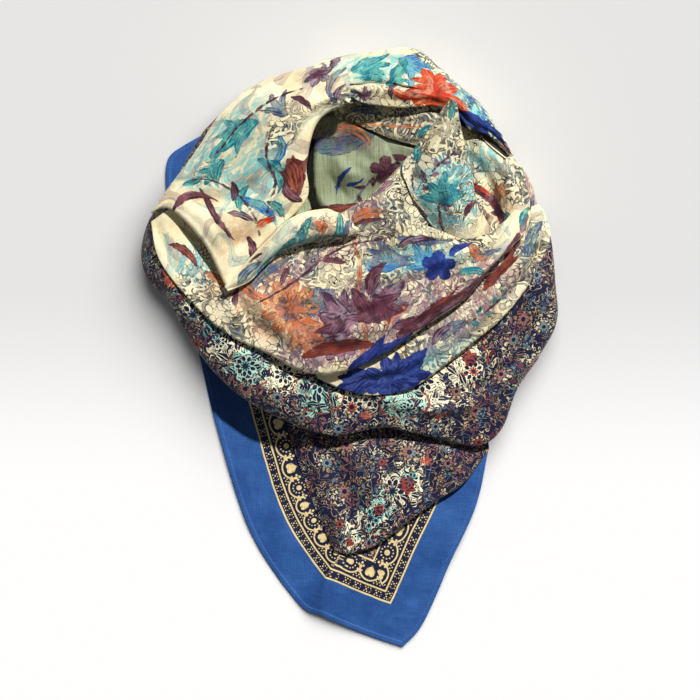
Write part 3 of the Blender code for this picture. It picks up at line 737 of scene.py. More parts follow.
fan slate 336 292 -150 80 44 13 4
leaf slate 398 236 4 64 9 -0.08
leaf slate 470 262 20 34 8 0.1
fan mauve 352 326 132 120 46 19 5
fan mauve 366 312 24 90 52 19 4
leaf mauve 398 246 12 44 8 0.1
leaf mauve 310 350 -8 48 12 0.1
flower mauve 338 346 20 8 12
bloom peach mauve 290 308 30 9 0
fan peach 300 322 -60 110 44 16 4
leaf peach 266 300 140 34 10 0.1
leaf peach 236 282 160 34 9 0.1
leaf peach 384 330 44 34 10 0.1
leaf peach 486 262 120 32 10 0.1
stem peach 2.3 352 236 360 268 356 304 366 338 358 372
fan plum 346 322 200 70 38 12 3
fan plum 372 324 96 150 44 15 4
patch dusk 336 352 64 16 4
fan plum 372 300 -20 70 40 13 3
leaf plum 368 296 62 40 13 0.1
leaf plum 392 328 -10 54 15 0.14
fan plum 420 322 28 24 78 11 2
stem plum 7 404 336 440 320 470 298 500 268 518 238
stem plum 1.3 254 306 296 282 338 250 396 234
leaf plum 282 288 64 26 6 0.1
leaf plum 322 262 -8 28 6 0.1
leaf plum 236 310 80 26 6 0.1
leaf brick 168 244 -40 40 8 0.15
leaf brick 426 326 30 60 8 0.1
leaf mauve 522 236 70 24 9 0.1
fan sky 430 268 120 130 34 11 5
leaf sky 402 262 190 40 8 0.1
bloom cobalt sky 438 266 17 5 15
leaf cobalt 448 256 34 34 9 0.1
leaf teal 456 274 -6 32 10 0.1
leaf teal 520 228 60 26 9 0.1
fan cobalt 348 374 20 50 84 22 4
print roll
patch damask 330 232 30 16 0
patch aqua 286 262 50 16 40
patch rose 326 228 14 10 0
leaf teal 304 250 74 36 8 0.12
leaf teal 282 268 62 36 7 0.12
leaf teal 334 248 84 36 8 -0.12
leaf sky 262 280 52 28 7 0.1
leaf sky 292 256 66 32 5 0.1
flower peach 322 228 7 5 0
leaf slate 238 286 42 36 9 0.1
leaf slate 346 240 70 28 6 0.1
leaf plum 250 262 30 16 5 0.1
"""


# Reading the notes.

def plain(word):
    """A word of the notes, as a number where it is one."""
    for kind in (int, float):
        try:
            return kind(word)
        except ValueError:
            pass
    return word


def read_notes(lines):
    """The stretches in laying order, and the prints."""
    stretches, prints = {}, {"none": ()}
    looks = ("silk", "print", "axis", "anchor", "turn", "shift_x", "shift_y")
    for line in lines:
        first, *facts = (plain(word) for word in line.split())
        if first == "stretch":
            stretch = {"sections": [], "creases": [], "rolls": (), "hems": ()}
            stretches[facts[0]] = stretch | dict(zip(looks, facts[1:]))
            stretch = stretches[facts[0]]
        elif first == "print":
            motifs = prints[facts[0]] = []
        elif first in ("rolls", "hems", "on"):
            stretch[first] = tuple(facts)
        elif first in ("sharp", "soft"):
            stretch["creases"].append((first, *facts))
        elif isinstance(first, str):
            motifs.append((first, *facts))
        else:
            stretch["sections"].append((first, *facts))
    return stretches, prints


STRETCHES, PRINTS = read_notes(NOTES.strip().splitlines())


def board_to_world(points):
    """Board millimetres to metres in the frame."""
    world = points * (MM, -MM, MM)
    world[..., 0] = (points[..., 0] - BOARD_MIDDLE[0]) * MM
    world[..., 1] = (BOARD_MIDDLE[1] - points[..., 1]) * MM
    return world


def along(values, places, axis):
    """A smooth curve through the values on one axis, read at the given places, counted in values."""
    values = np.moveaxis(np.asarray(values, float), axis, 0)
    padded = np.concatenate([[2 * values[0] - values[1]], values, [2 * values[-1] - values[-2]]])
    start = np.minimum(places.astype(int), len(values) - 2)
    t = (places - start).reshape((-1,) + (1,) * (values.ndim - 1))
    before, here, there, after = (padded[start + k] for k in range(4))
    curve = 0.5 * (
        2 * here
        + (there - before) * t
        + (2 * before - 5 * here + 4 * there - after) * t**2
        + (3 * here - before - 3 * there + after) * t**3
    )
    return np.moveaxis(curve, 0, axis)


def lengths(vectors):
    return np.linalg.norm(vectors, axis=-1, keepdims=True)


def unit(vectors):
    return vectors / np.maximum(lengths(vectors), 1e-9)


def unit_in_plan(vectors):
    return unit(vectors * (1, 1, 0))


def smoothstep(values, low, high):
    t = np.clip((values - low) / (high - low), 0, 1)
    return t * t * (3 - 2 * t)


def net_of(stretch):
    """The stretch's points, one row for each section, and the roll's radius of each row."""
    sections = np.array(stretch["sections"], float)
    return sections[:, :-1].reshape(len(sections), -1, 3), sections[:, -1]


def even_places(net, axis, spacing, hemmed):
    """Places along a side of the net, evenly spaced on the cloth and closer within a hem."""
    spans = np.linalg.norm(np.diff(net, axis=axis), axis=-1).mean(axis=1 - axis)
    places = [np.array([len(spans)], float)]
    for k, span in enumerate(spans):
        count = max(2, round(span / spacing))
        places.append(k + np.arange(count) / count)
    places = np.concatenate(places)
    if hemmed:
        first = np.array(HEM_PLACES) / spans[0]
        places = np.concatenate([[0.0], first, places[places > first[-1] + 0.5 * spacing / spans[0]]])
    return np.sort(places)


def sampled(stretch, spacing):
    """The stretch's own surface without its rolls, and the radius of the roll along it."""
    net, radii = net_of(stretch)
    for side, column, inner in (("edge", -1, -2), ("root", 0, 1)):
        if side in stretch["rolls"]:
            net[:, column] += unit_in_plan(net[:, inner] - net[:, column]) * radii[:, None]
    if "end" in stretch["rolls"]:
        net[-1] += unit_in_plan(net[-2] - net[-1]) * radii[-1]
    rows = even_places(net, 0, spacing, "start" in stretch["hems"])
    columns = even_places(net, 1, spacing, "root" in stretch["hems"])
    return along(along(net, rows, 0), columns, 1), along(radii, rows, 0), radii[-1]


# Shaping the cloth.

def normals_of(grid):
    return unit(np.cross(np.gradient(grid, axis=0), np.gradient(grid, axis=1)))


def curve_through(points, spacing):
    """An open smooth line through plan points, at an even step."""
    points = np.reshape(points, (-1, 2)).astype(float)
    reach = np.linalg.norm(np.diff(points, axis=0), axis=-1)
    counts = np.maximum(1, np.round(reach / spacing).astype(int))
    places = np.concatenate([k + np.arange(n) / n for k, n in enumerate(counts)] + [[len(points) - 1]])
    return along(points, places, 0)


def nearest_on(line, places):
    """Distance from plan places to a line, its sign by the side, and the distance along it."""
    flat = places.reshape(-1, 2)
    best = np.full(len(flat), np.inf)
    side = np.zeros(len(flat))
    travel = np.zeros(len(flat))
    gone = 0.0
    for a, b in zip(line[:-1], line[1:]):
        step = b - a
        reach = max(float(np.hypot(*step)), 1e-9)
        t = np.clip(((flat - a) @ step) / reach**2, 0, 1)
        away = flat - a - t[:, None] * step
        distance = np.hypot(away[:, 0], away[:, 1])
        closer = distance < best
        best[closer] = distance[closer]
        side[closer] = np.sign(step[0] * away[:, 1] - step[1] * away[:, 0])[closer]
        travel[closer] = gone + t[closer] * reach
        gone += reach
    return *(values.reshape(places.shape[:-1]) for values in (best, side, travel)), gone


def crease_height(places, creases):
    """How far the creases lift or sink the cloth at plan places."""
    total = np.zeros(places.shape[:-1])
    for form, height, width, *points in creases:
        distance, _, travel, reach = nearest_on(curve_through(points, CREASE_STEP), places)
        q = np.clip(distance / width, 0, 1)
        profile = (1 - q) ** 2 if form == "sharp" else 0.5 * (1 + np.cos(np.pi * q))
        end = CREASE_FADE * reach
        fade = smoothstep(travel, 0, end) * smoothstep(reach - travel, 0, end)
        total += height * profile * np.sqrt(fade)
    return total


def soft_noise(across, down, size, seed):
    """Smooth seeded noise between -1 and 1 on two arrays of millimetres."""
    draws = np.random.default_rng(seed).uniform(-1, 1, (NOISE_CELLS, NOISE_CELLS))
    u, v = across / size, down / size
    low_u, low_v = np.floor(u).astype(int), np.floor(v).astype(int)
    t_u, t_v = smoothstep(u - low_u, 0, 1), smoothstep(v - low_v, 0, 1)
    lines = []
    for below in (0, 1):
        left, right = (draws[(low_v + below) % NOISE_CELLS, (low_u + k) % NOISE_CELLS] for k in (0, 1))
        lines.append(left * (1 - t_u) + right * t_u)
    near, far = lines
    return near * (1 - t_v) + far * t_v


def softened(grid, up, creases, wide, seed):
    """The grid with its creases, and the slight unevenness of soft cloth."""
    arc_down = np.cumsum(lengths(np.diff(grid, axis=0, prepend=grid[:1]))[..., 0], axis=0)
    arc_across = np.cumsum(lengths(np.diff(grid, axis=1, prepend=grid[:, :1]))[..., 0], axis=1)
    height = crease_height(grid[..., :2], creases)
    for k, (share, squeeze, size) in enumerate(RUMPLES):
        height += share * wide * soft_noise(arc_down, squeeze * arc_across, size, seed + k)
    return grid + normals_of(grid) * up * height[..., None]


def windows_of(values, mode):
    """The array itself and its eight neighbours, each moved over it."""
    padded = np.pad(values, 1, mode=mode)
    rows, columns = values.shape
    return [padded[a : a + rows, b : b + columns] for a in range(3) for b in range(3)]


class Heap:
    """The top of the cloth laid so far, on an even plan grid of the board."""

    def __init__(self):
        cells = int(BOARD_SIDE / HEAP_CELL) + 2
        self.top = np.zeros((cells, cells))
        self.near = self.top.copy()

    def place(self, points):
        cells = np.clip((points[..., :2] / HEAP_CELL).astype(int), 0, len(self.top) - 1)
        return cells[..., 1], cells[..., 0]

    def add(self, grid):
        for axis in (0, 1) * HEAP_HALVINGS:
            grid = np.moveaxis(grid, axis, 0)
            finer = np.empty((2 * len(grid) - 1,) + grid.shape[1:])
            finer[::2] = grid
            finer[1::2] = 0.5 * (grid[1:] + grid[:-1])
            grid = np.moveaxis(finer, 0, axis)
        np.maximum.at(self.top, self.place(grid), grid[..., 2])
        self.near = np.max(windows_of(self.top, "constant"), axis=0)

    def under(self, points):
        return self.near[self.place(points)]


SIDES = {"end": (-1, -2, 0), "root": (0, 1, 1), "edge": (-1, -2, 1)}
"""The border line, the line beside it and the axis of each side that may be a fold."""


def rolled(grid, radius, end_radius, rolls, wall, heap):
    """The grid with a roll turned under at each folded side, no larger than the room below it."""
    lines = []
    for side in rolls:
        border, inner, axis = SIDES[side]
        across = np.moveaxis(grid, axis, 0)
        line = across[border]
        wanted = radius if axis else np.full(len(line), end_radius)
        outward = unit_in_plan(line - across[inner])
        reach = line + outward * wanted[:, None]
        under = np.maximum(heap.under(line), heap.under(reach))
        room = (line[:, 2] - under - GAP - wall) / 2
        real = np.maximum(np.minimum(wanted, room), np.minimum(wanted, LEAST_ROLL))
        for _ in range(LIFT_PASSES):
            beside = np.pad(real, 1, mode="edge")
            real = np.minimum(real, (beside[:-2] + real + beside[2:]) / 3)
        lift = np.maximum(0, under + GAP + wall + 2 * real - line[:, 2])
        spare = np.maximum(wanted - real, 0)
        turns = [math.radians(angle) for angle in ROLL_ANGLES]
        steps = [(real * math.sin(turn) + spare, real * (1 - math.cos(turn))) for turn in turns]
        steps += [(spare - back, 2 * real) for back in RETURN_STEPS]
        lines.append((side, [(outward * flat[:, None], drop) for flat, drop in steps], lift))
    for side, _, lift in lines:
        border, _, axis = SIDES[side]
        np.moveaxis(grid, axis, 0)[border, :, 2] += lift
    turned = len(ROLL_ANGLES) + len(RETURN_STEPS)
    before = turned * ("root" in rolls)
    pads = ((0, turned * ("end" in rolls)), (before, turned * ("edge" in rolls)))
    whole = np.pad(grid, pads + ((0, 0),), mode="edge")
    drops = np.zeros(whole.shape[:2])
    rows, columns = grid.shape[:2]
    for side, steps, _ in lines:
        pad = pads[1 - SIDES[side][2]]
        for k, (flat, drop) in enumerate(steps):
            place = {
                "end": (rows + k, slice(None)),
                "root": (slice(None), before - 1 - k),
                "edge": (slice(None), before + columns + k),
            }[side]
            whole[place] += np.pad(flat, (pad, (0, 0)), mode="edge")
            drops[place] = np.hypot(drops[place], np.pad(drop, pad, mode="edge"))
    whole[..., 2] -= drops
    return whole, pads


def settled(grid, pads, thickness, heap):
    """The grid, lifted smoothly until its wall is clear of everything that lies under it."""
    for _ in range(SETTLE_ROUNDS):
        need = heap.under(grid) + GAP + 0.5 * thickness - grid[..., 2]
        need = np.where(heap.under(grid) > 0, np.maximum(need, 0), 0)
        if need.max() < CLEAR_ENOUGH:
            break
        for axis in (0, 1):
            need = np.moveaxis(need, axis, 0)
            first, last = pads[axis]
            if first:
                need[: first + 1] = need[: first + 1].max(axis=0)
            if last:
                need[-last - 1 :] = need[-last - 1 :].max(axis=0)
            need = np.moveaxis(need, 0, axis)
        lift = need.copy()
        for _ in range(LIFT_PASSES):
            lift = np.maximum(need, sum(windows_of(lift, "edge")) / 9)
        grid[..., 2] += lift
    return grid


def unrolled(grid, axis, anchor):
    """The cloth's own flat places: plan places at the anchor line, and true lengths away from it."""
    lines = np.moveaxis(grid, axis, 0)
    arc = np.cumsum(np.linalg.norm(np.diff(lines, axis=0, prepend=lines[:1]), axis=-1), axis=0)
    middle = int(anchor * (len(lines) - 1))
    arc -= arc[middle]
    before, after = (lines[int(share * len(lines)), :, :2] for share in HEADING_SPAN)
    heading = unit(after - before)
    return np.moveaxis(lines[middle, :, :2] + heading * arc[..., None], 0, axis)


def wall_of(grid, thickness, up):
    """Points and faces of a closed wall: its upper sheet, its lower sheet and the rim between them."""
    normal = normals_of(grid) * up
    half = 0.5 * thickness[..., None]
    upper, lower = grid + normal * half, grid - normal * half
    lower[..., 2] = np.maximum(lower[..., 2], 0)
    upper[..., 2] = np.maximum(upper[..., 2], lower[..., 2] + LEAST_WALL * half[..., 0])
    rows, columns = grid.shape[:2]
    count = rows * columns
    index = np.arange(count).reshape(rows, columns)
    quads = [index[:-1, :-1], index[1:, :-1], index[1:, 1:], index[:-1, 1:]]
    top = np.stack(quads, axis=-1).reshape(-1, 4)
    ring = np.concatenate([index[:, 0], index[-1, 1:], index[-2::-1, -1], index[0, -2:0:-1]])
    following = np.roll(ring, -1)
    rim = np.stack([following, ring, ring + count, following + count], axis=-1)
    faces = np.concatenate([top, top[:, ::-1] + count, rim])
    # The board's y runs the other way from the frame's, which turns every face round.
    if up > 0:
        faces = faces[:, ::-1]
    return np.concatenate([upper.reshape(-1, 3), lower.reshape(-1, 3)]), faces, upper


class Artwork:
    """How far cloth places lie inside each colour, and the vein lines of the topmost motif."""

    def __init__(self, places, names):
        self.places = places.reshape(-1, 2)
        self.reach = {name: np.full(len(self.places), FAR) for name in names}
        self.vein = np.zeros((len(self.places), 3))

    def paint(self, colour, reach, lengthwise, across):
        inside = reach > -VEIN_MARGIN
        self.vein[inside, 0] = lengthwise[inside]
        self.vein[inside, 1] = across[inside]
        self.reach[colour] = np.maximum(self.reach[colour], reach)

    def turned(self, x, y, angle):
        turn = math.radians(angle)
        away = self.places - (x, y)
        ahead = away[:, 0] * math.cos(turn) - away[:, 1] * math.sin(turn)
        across = -away[:, 0] * math.sin(turn) - away[:, 1] * math.cos(turn)
        return ahead, across

    def leaf(self, colour, x, y, angle, length, width, bend):
        ahead, across = self.turned(x, y, angle)
        t = np.clip(ahead / length, 0, 1)
        off = across - bend * length * 4 * t * (1 - t)
        half = 0.5 * width * np.sin(np.pi * t**0.8) ** 0.8
        past = np.maximum(np.maximum(-ahead, ahead - length), 0)
        self.paint(colour, half - np.abs(off) - past, ahead, off)

    def flower(self, colour, x, y, radius, petals, angle):
        ahead, across = self.turned(x, y, angle)
        out = np.hypot(ahead, across)
        swing = np.arctan2(across, ahead) * petals / 2
        reach = radius * (0.5 + 0.5 * np.abs(np.cos(swing)) ** 0.6) - out
        self.paint(colour, reach, out, out * np.sin(swing * 2) / petals)

    def bloom(self, outer, inner, x, y, radius, petals, angle):
        self.flower(outer, x, y, radius, petals, angle)
        self.flower(inner, x, y, 0.5 * radius, petals, angle + 180 / petals)

    def fan(self, colour, x, y, angle, spread, length, width, leaves):
        for k in range(leaves):
            t = k / (leaves - 1) - 0.5
            share = 1 - 0.9 * t * t - 0.12 * (k % 2)
            self.leaf(colour, x, y, angle + spread * t, length * share, width * share, -0.25 * t)

    def oval(self, x, y, half_width, half_height, angle):
        ahead, across = self.turned(x, y, angle)
        share = np.hypot(ahead / half_width, across / half_height)
        return ahead, across, share, np.arctan2(across / half_height, ahead / half_width)

    def patch(self, colour, *oval):
        ahead, across, share, swing = self.oval(*oval)
        share = share * (1 + 0.09 * np.cos(5 * swing) + 0.05 * np.cos(9 * swing + 1))
        self.paint(colour, (1 - share) * min(oval[2:4]), ahead, across)

    def ring(self, colour, *oval_and_line):
        *oval, line = oval_and_line
        ahead, across, share, swing = self.oval(*oval)
        share = share * (1 + 0.06 * np.abs(np.cos(6 * swing)))
        self.paint(colour, line / 2 - np.abs(1 - share) * min(oval[2:4]), ahead, across)

    def stem(self, colour, line, *points):
        distance, side, travel, length = nearest_on(curve_through(points, PRINT_STEP), self.places)
        taper = 0.6 + 0.4 * np.sin(np.pi * np.clip(travel / length, 0.05, 0.95))
        self.paint(colour, line * taper - distance, travel, distance * side)

    def spray(self, colour, length, width, leaves, *points):
        curve = curve_through(points, PRINT_STEP)
        for k in range(leaves):
            place = 1 + int((k + 0.3) / leaves * (len(curve) - 3))
            step = curve[place + 1] - curve[place - 1]
            heading = math.degrees(math.atan2(-step[1], step[0])) + (42 if k % 2 else -42)
            share = 1 - 0.45 * k / leaves
            self.leaf(colour, *curve[place], heading, length * share, width * share, 0.06 * (-1) ** k)
        self.stem("slate" if colour == "plum" else "plum", 1.0, *points)

    def painted(self, rows):
        for form, *facts in rows:
            getattr(self, form)(*facts)
        return self


# Node trees.

HALF_TURN, WHOLE_TURN = 3.1416, 6.283


class Value:
    """A number, vector or colour in a node tree. Signs and methods put nodes after it."""

    def __init__(self, tree, socket):
        self.tree = tree
        self.socket = socket

    def math(self, operation, *others):
        return self.tree.math(operation, self, *others)

    def __abs__(self):
        return self.math("ABSOLUTE")

    def __gt__(self, other):
        return self.math("GREATER_THAN", other)

    def __lt__(self, other):
        return self.math("LESS_THAN", other)

    def fraction(self):
        return self.math("FRACT")

    def length(self):
        return self.tree.add("ShaderNodeVectorMath", {0: self}, operation="LENGTH")["Value"]

    def parts(self):
        kind = "Color" if self.socket.type == "RGBA" else "XYZ"
        apart = self.tree.add("ShaderNodeSeparate" + kind, {0: self})
        return apart[0], apart[1], apart[2]

    def smooth(self, low, high):
        """0 below low, 1 above high, with a soft step between."""
        feeds = {"Value": self, "From Min": low, "From Max": high}
        return self.tree.add("ShaderNodeMapRange", feeds, interpolation_type="SMOOTHSTEP")["Result"]

    def edge(self, half=0.2):
        return self.smooth(-half, half)

    def between(self, a, b):
        return self.tree.add("ShaderNodeMix", {0: self, 2: a, 3: b})[0]

    def noise(self, size, detail=2.0, output="Fac", twist=0.0):
        """Noise whose lumps are about size across, on places in the same unit."""
        feeds = {"Vector": self, "Scale": 1 / size, "Detail": detail, "Distortion": twist}
        return self.tree.add("ShaderNodeTexNoise", feeds, noise_dimensions="2D")[output]

    def streaks(self, across, down, detail, twist=0.0):
        """Noise whose lumps are across by down in size."""
        return (self * (1 / across, 1 / down, 1.0)).noise(1.0, detail, twist=twist)

    def drifted(self, size, reach):
        """The places, each moved by up to half the reach."""
        return self + (self.noise(size, 1.0, "Color") - (0.5, 0.5, 0.5)) * reach


def sign_methods(operation):
    """The methods that a sign calls on the value at its left and at its right."""
    def before(self, other):
        return self.tree.math(operation, self, other)

    def after(self, other):
        return self.tree.math(operation, other, self)

    return before, after


for sign, operation in (("add", "ADD"), ("sub", "SUBTRACT"), ("mul", "MULTIPLY"), ("truediv", "DIVIDE")):
    for method, prefix in zip(sign_methods(operation), ("", "r")):
        setattr(Value, f"__{prefix}{sign}__", method)


class Outputs:
    """A node's outputs, as values."""

    def __init__(self, tree, sockets):
        self.tree = tree
        self.sockets = sockets

    def __getitem__(self, key):
        return Value(self.tree, self.sockets[key])


class Tree:
    """Puts nodes into a node tree in reading order, and feeds them settings or values."""

    def __init__(self, tree):
        self.tree = tree
        tree.nodes.clear()

    def add(self, kind, feeds=None, **settings):
        node = self.tree.nodes.new(kind)
        place = len(self.tree.nodes)
        node.location = (200 * (place // 5), -190 * (place % 5))
        for name, value in settings.items():
            setattr(node, name, value)
        for key, value in (feeds or {}).items():
            self.feed(node.inputs[key], value)
        return Outputs(self, node.outputs)

    def feed(self, socket, value):
        if isinstance(value, Value):
            self.tree.links.new(value.socket, socket)
        elif socket.type == "RGBA" and len(value) == 3:
            socket.default_value = (*value, 1)
        else:
            socket.default_value = value

    def math(self, operation, *values):
        """A maths node, of numbers or of vectors by the first value."""
        kind, keys = "ShaderNodeMath", range(3)
        first = next(value for value in values if isinstance(value, Value))
        if first.socket.type in ("VECTOR", "RGBA"):
            kind = "ShaderNodeVectorMath"
            if operation == "MULTIPLY" and not isinstance(values[1], tuple):
                operation, keys = "SCALE", (0, 3)
        return self.add(kind, dict(zip(keys, values)), operation=operation)[0]

    def largest(self, *values):
        total = values[0]
        for value in values[1:]:
            total = self.math("MAXIMUM", total, value)
        return total

    def mix(self, share, a, b, blend="MIX"):
        return self.add("ShaderNodeMix", {0: share, 6: a, 7: b}, data_type="RGBA", blend_type=blend)[2]

    def stained(self, share, colour, paint):
        """The paint by its share, over the colour that it stains."""
        return self.mix(share, self.mix(1.0, colour, paint, "MULTIPLY"), paint)

    def attribute(self, name, output="Fac"):
        return self.add("ShaderNodeAttribute", attribute_name=name)[output]

    def object_places(self):
        return self.add("ShaderNodeTexCoord")["Object"]

    def group(self, name, **feeds):
        return self.add("ShaderNodeGroup", feeds, node_tree=bpy.data.node_groups[name])


def add_socket(tree, way, label, kind="Float", default=None):
    """A named socket on a node group."""
    socket = tree.interface.new_socket(name=label, in_out=way, socket_type="NodeSocket" + kind)
    if default is not None:
        socket.default_value = default
    return socket


GROUPS = []


def node_group(name, inputs, outputs):
    """Keeps a function of a group's inputs that gives its outputs. v marks vectors, and c colours."""
    def keep(fill):
        def make():
            group = bpy.data.node_groups.new(name, "ShaderNodeTree")
            for labels, way in ((inputs, "INPUT"), (outputs, "OUTPUT")):
                for words in labels.split(", "):
                    label, fact = (words + " 0").split()[:2]
                    kind = {"v": "Vector", "c": "Color"}.get(fact, "Float")
                    add_socket(group, way, label, kind, float(fact) if kind == "Float" else None)
            tree = Tree(group)
            given = tree.add("NodeGroupInput")
            results = fill(tree, *(given[k] for k in range(inputs.count(",") + 1)))
            tree.add("NodeGroupOutput", dict(enumerate(results)))

        GROUPS.append(make)
        return make

    return keep


def scattered(places, cell, randomness):
    """Polar places around the nearest of scattered points: distance, angle and the point's chances."""
    scaled = places * (1.0 / cell)
    feeds = {"Vector": scaled, "Scale": 1.0, "Randomness": randomness}
    cells = places.tree.add("ShaderNodeTexVoronoi", feeds, voronoi_dimensions="2D")
    away = (scaled - cells["Position"]) * cell
    chances = cells["Color"].parts()
    x, y, _ = away.parts()
    angle = y.math("ARCTAN2", x) + chances[1] * WHOLE_TURN
    return (away * (1.0, 1.0, 0.0)).length(), angle, chances


@node_group(
    "Rosettes",
    "Vector v, Cell 20, Radius 7, Petals 6, Line 0.6",
    "Fill, Inner, Outline, Heart, Halo, Chance",
)
def rosettes(tree, places, cell, radius, petals, width):
    """Scattered flowers of two rings of petals, with drawn lines and a heart."""
    out, angle, chances = scattered(places, cell, 0.6)
    size = radius * (chances[2] * 0.5 + 0.6)
    half_petals = petals * 0.5
    swing = angle * half_petals
    lobes = abs(swing.math("COSINE"))
    reach = (lobes * 0.42 + 0.58) * size - out
    inner = (abs(swing.math("SINE")) * 0.24 + 0.3) * size - out
    part = lobes * out / half_petals + inner.math("MAXIMUM", 0.0)
    nearest = abs(reach).math("MINIMUM", abs(inner))
    nearest = nearest.math("MINIMUM", part + (reach * -1.0).math("MAXIMUM", 0.0))
    heart = (size * 0.2 - out).edge()
    halo = reach.smooth(-1.1, -0.7)
    return reach.edge(), inner.edge(), (width - nearest).edge(), heart, halo, chances[0]


@node_group("Leaflets", "Vector v, Cell 6, Length 2.6, Width 1", "Fill, Edge, Chance")
def leaflets(tree, places, cell, length, width):
    """Scattered small leaves, each turned its own way, with a midrib."""
    out, angle, chances = scattered(places, cell, 0.9)
    share = out * angle.math("COSINE") / length
    across = abs(out * angle.math("SINE"))
    reach = (1.0 - share * share) * width - across
    rib = across + reach.math("MINIMUM", 0.0) * -4.0
    return reach.edge(), (0.26 - abs(reach).math("MINIMUM", rib)).edge(0.14), chances[0]


@node_group("Swirls", "Vector v, Size 8, Twist 1.4, Width 0.5", "Fill, Line, Inner")
def swirls(tree, places, size, twist, width):
    """Scrollwork: lobed figures that curl into each other, with a swelling outline and an inner line."""
    scaled = places * (1.0 / size)
    level = scaled.noise(1.0, 0.6, twist=twist) + (scaled.noise(0.36, 0.0) * 0.16 - 0.08)
    height = (level - 0.5) * size
    inner = 0.1 - abs(abs(height) - 0.8)
    return height.edge(0.12), (width - abs(height)).edge(0.12), inner.edge(0.08)


@node_group("Pebbles", "Vector v, Cell 5", "Line")
def pebbles(tree, places, cell):
    """Rows of rounded scales with a drawn edge."""
    feeds = {"Vector": places * (1.0 / cell), "Scale": 1.0, "Randomness": 0.7}
    feature = {"voronoi_dimensions": "2D", "feature": "DISTANCE_TO_EDGE"}
    gap = tree.add("ShaderNodeTexVoronoi", feeds, **feature)["Distance"] * cell
    return ((0.4 - gap).edge(0.25),)


@node_group(
    "Arabesque", "Vector v, Pale, Ground c, Vine c, Leaf c, Flower c, Accent c", "Color c"
)
def arabesque(tree, places, pale, ground, vine, leaf, flower, accent):
    """A dense ground of curling stems, leaves and flowers, in five given colours."""
    moved = places.drifted(16.0, 7.0)
    width = pale * 0.5 + 0.3
    swirls = tree.group("Swirls", Vector=moved, Size=10.5, Twist=2.1, Width=width)
    leaflets = tree.group("Leaflets", Vector=moved, Cell=8.0, Length=4.2, Width=1.5)
    fine = tree.group("Leaflets", Vector=places, Cell=4.4, Length=1.9, Width=0.7)
    blades = tree.group("Leaflets", Vector=moved, Cell=11.0, Length=8.5, Width=3.2)
    small = tree.group("Rosettes", Vector=moved, Cell=17.0, Radius=4.6, Petals=5.0, Line=0.5)
    large = tree.group("Rosettes", Vector=places, Cell=34.0, Radius=12.5, Petals=9.0, Line=0.55)
    chosen = fine["Fill"] * (fine["Chance"] > 0.82) * (pale * -0.8 + 1.0)
    colour = tree.mix(chosen * 0.75, ground, vine)
    colour = tree.mix(swirls["Line"], colour, vine)
    kept = leaflets["Chance"] > pale * -0.25 + 0.7
    bold = pale * (blades["Chance"] > 0.3)
    some = small["Chance"] > 0.55
    petals = tree.mix(small["Chance"] > 0.88, vine, accent)
    shade = moved.noise(2.4, 2.0).smooth(0.4, 0.64)
    broad = tree.mix(tree.largest(shade, pale), ground, vine)
    hearts = tree.mix(large["Chance"] > 0.75, leaf, accent)
    for share, paint in (
        (leaflets["Fill"] * kept, leaf),
        (leaflets["Edge"] * kept, ground),
        (blades["Fill"] * bold, vine),
        (blades["Edge"] * bold, ground),
        (small["Halo"] * some, ground),
        (small["Fill"] * some, petals),
        (small["Outline"] * some, ground),
        (small["Heart"] * some, ground),
        (large["Halo"], ground),
        (large["Fill"], broad),
        (large["Inner"], hearts),
        (large["Outline"], ground),
        (large["Heart"], flower),
    ):
        colour = tree.mix(share, colour, paint)
    return (colour,)


@node_group("Damask", "Vector v", "Wash, Line")
def damask(tree, places):
    """Scrollwork, partly light on grey and partly grey on light, and scales: its wash and its lines."""
    moved = places.drifted(26.0, 16.0)
    swirls = tree.group("Swirls", Vector=moved, Size=9.5, Twist=1.8, Width=0.3)
    broad = tree.group("Rosettes", Vector=moved, Cell=46.0, Radius=14.0, Petals=7.0, Line=0.36)
    scales = tree.group("Pebbles", Vector=moved, Cell=4.2)["Line"]
    clear = 1.0 - broad["Halo"]
    figure = tree.largest(swirls["Fill"] * clear, broad["Fill"])
    lines = tree.largest(swirls["Line"], swirls["Inner"] * 0.55)
    lines = tree.largest(lines * clear, broad["Outline"])
    dark = places.noise(58.0, 1.0).smooth(0.46, 0.52)
    wash = (1.0 - figure) * (dark * 0.5 + 0.5)
    scaly = (places + (90.0, 40.0, 0.0)).noise(44.0, 1.0).smooth(0.71, 0.74)
    mottle = moved.noise(3.4, 3.0).smooth(0.3, 0.65)
    return scaly.between(wash, scales) * (mottle * 0.4 + 0.6), scaly.between(lines, scales)


@node_group("Brushwork", "Vein v, Vector v", "Tone, Rib")
def brushwork(tree, vein, places):
    """Strokes that run along a motif, with a midrib and side veins: how dark the paint lies."""
    strokes = vein.streaks(22.0, 2.0, 3.0)
    wash = places.noise(12.0, 4.0)
    ahead, across, _ = vein.parts()
    across = abs(across)
    rib = (0.5 - across).edge()
    side = abs((ahead * 0.2 + across * -0.3).fraction() - 0.5)
    side = (0.06 - side).smooth(-0.04, 0.05)
    tone = strokes * 1.1 + wash * 0.9
    return tone.smooth(0.66, 1.34), tree.largest(rib, side * 0.6)


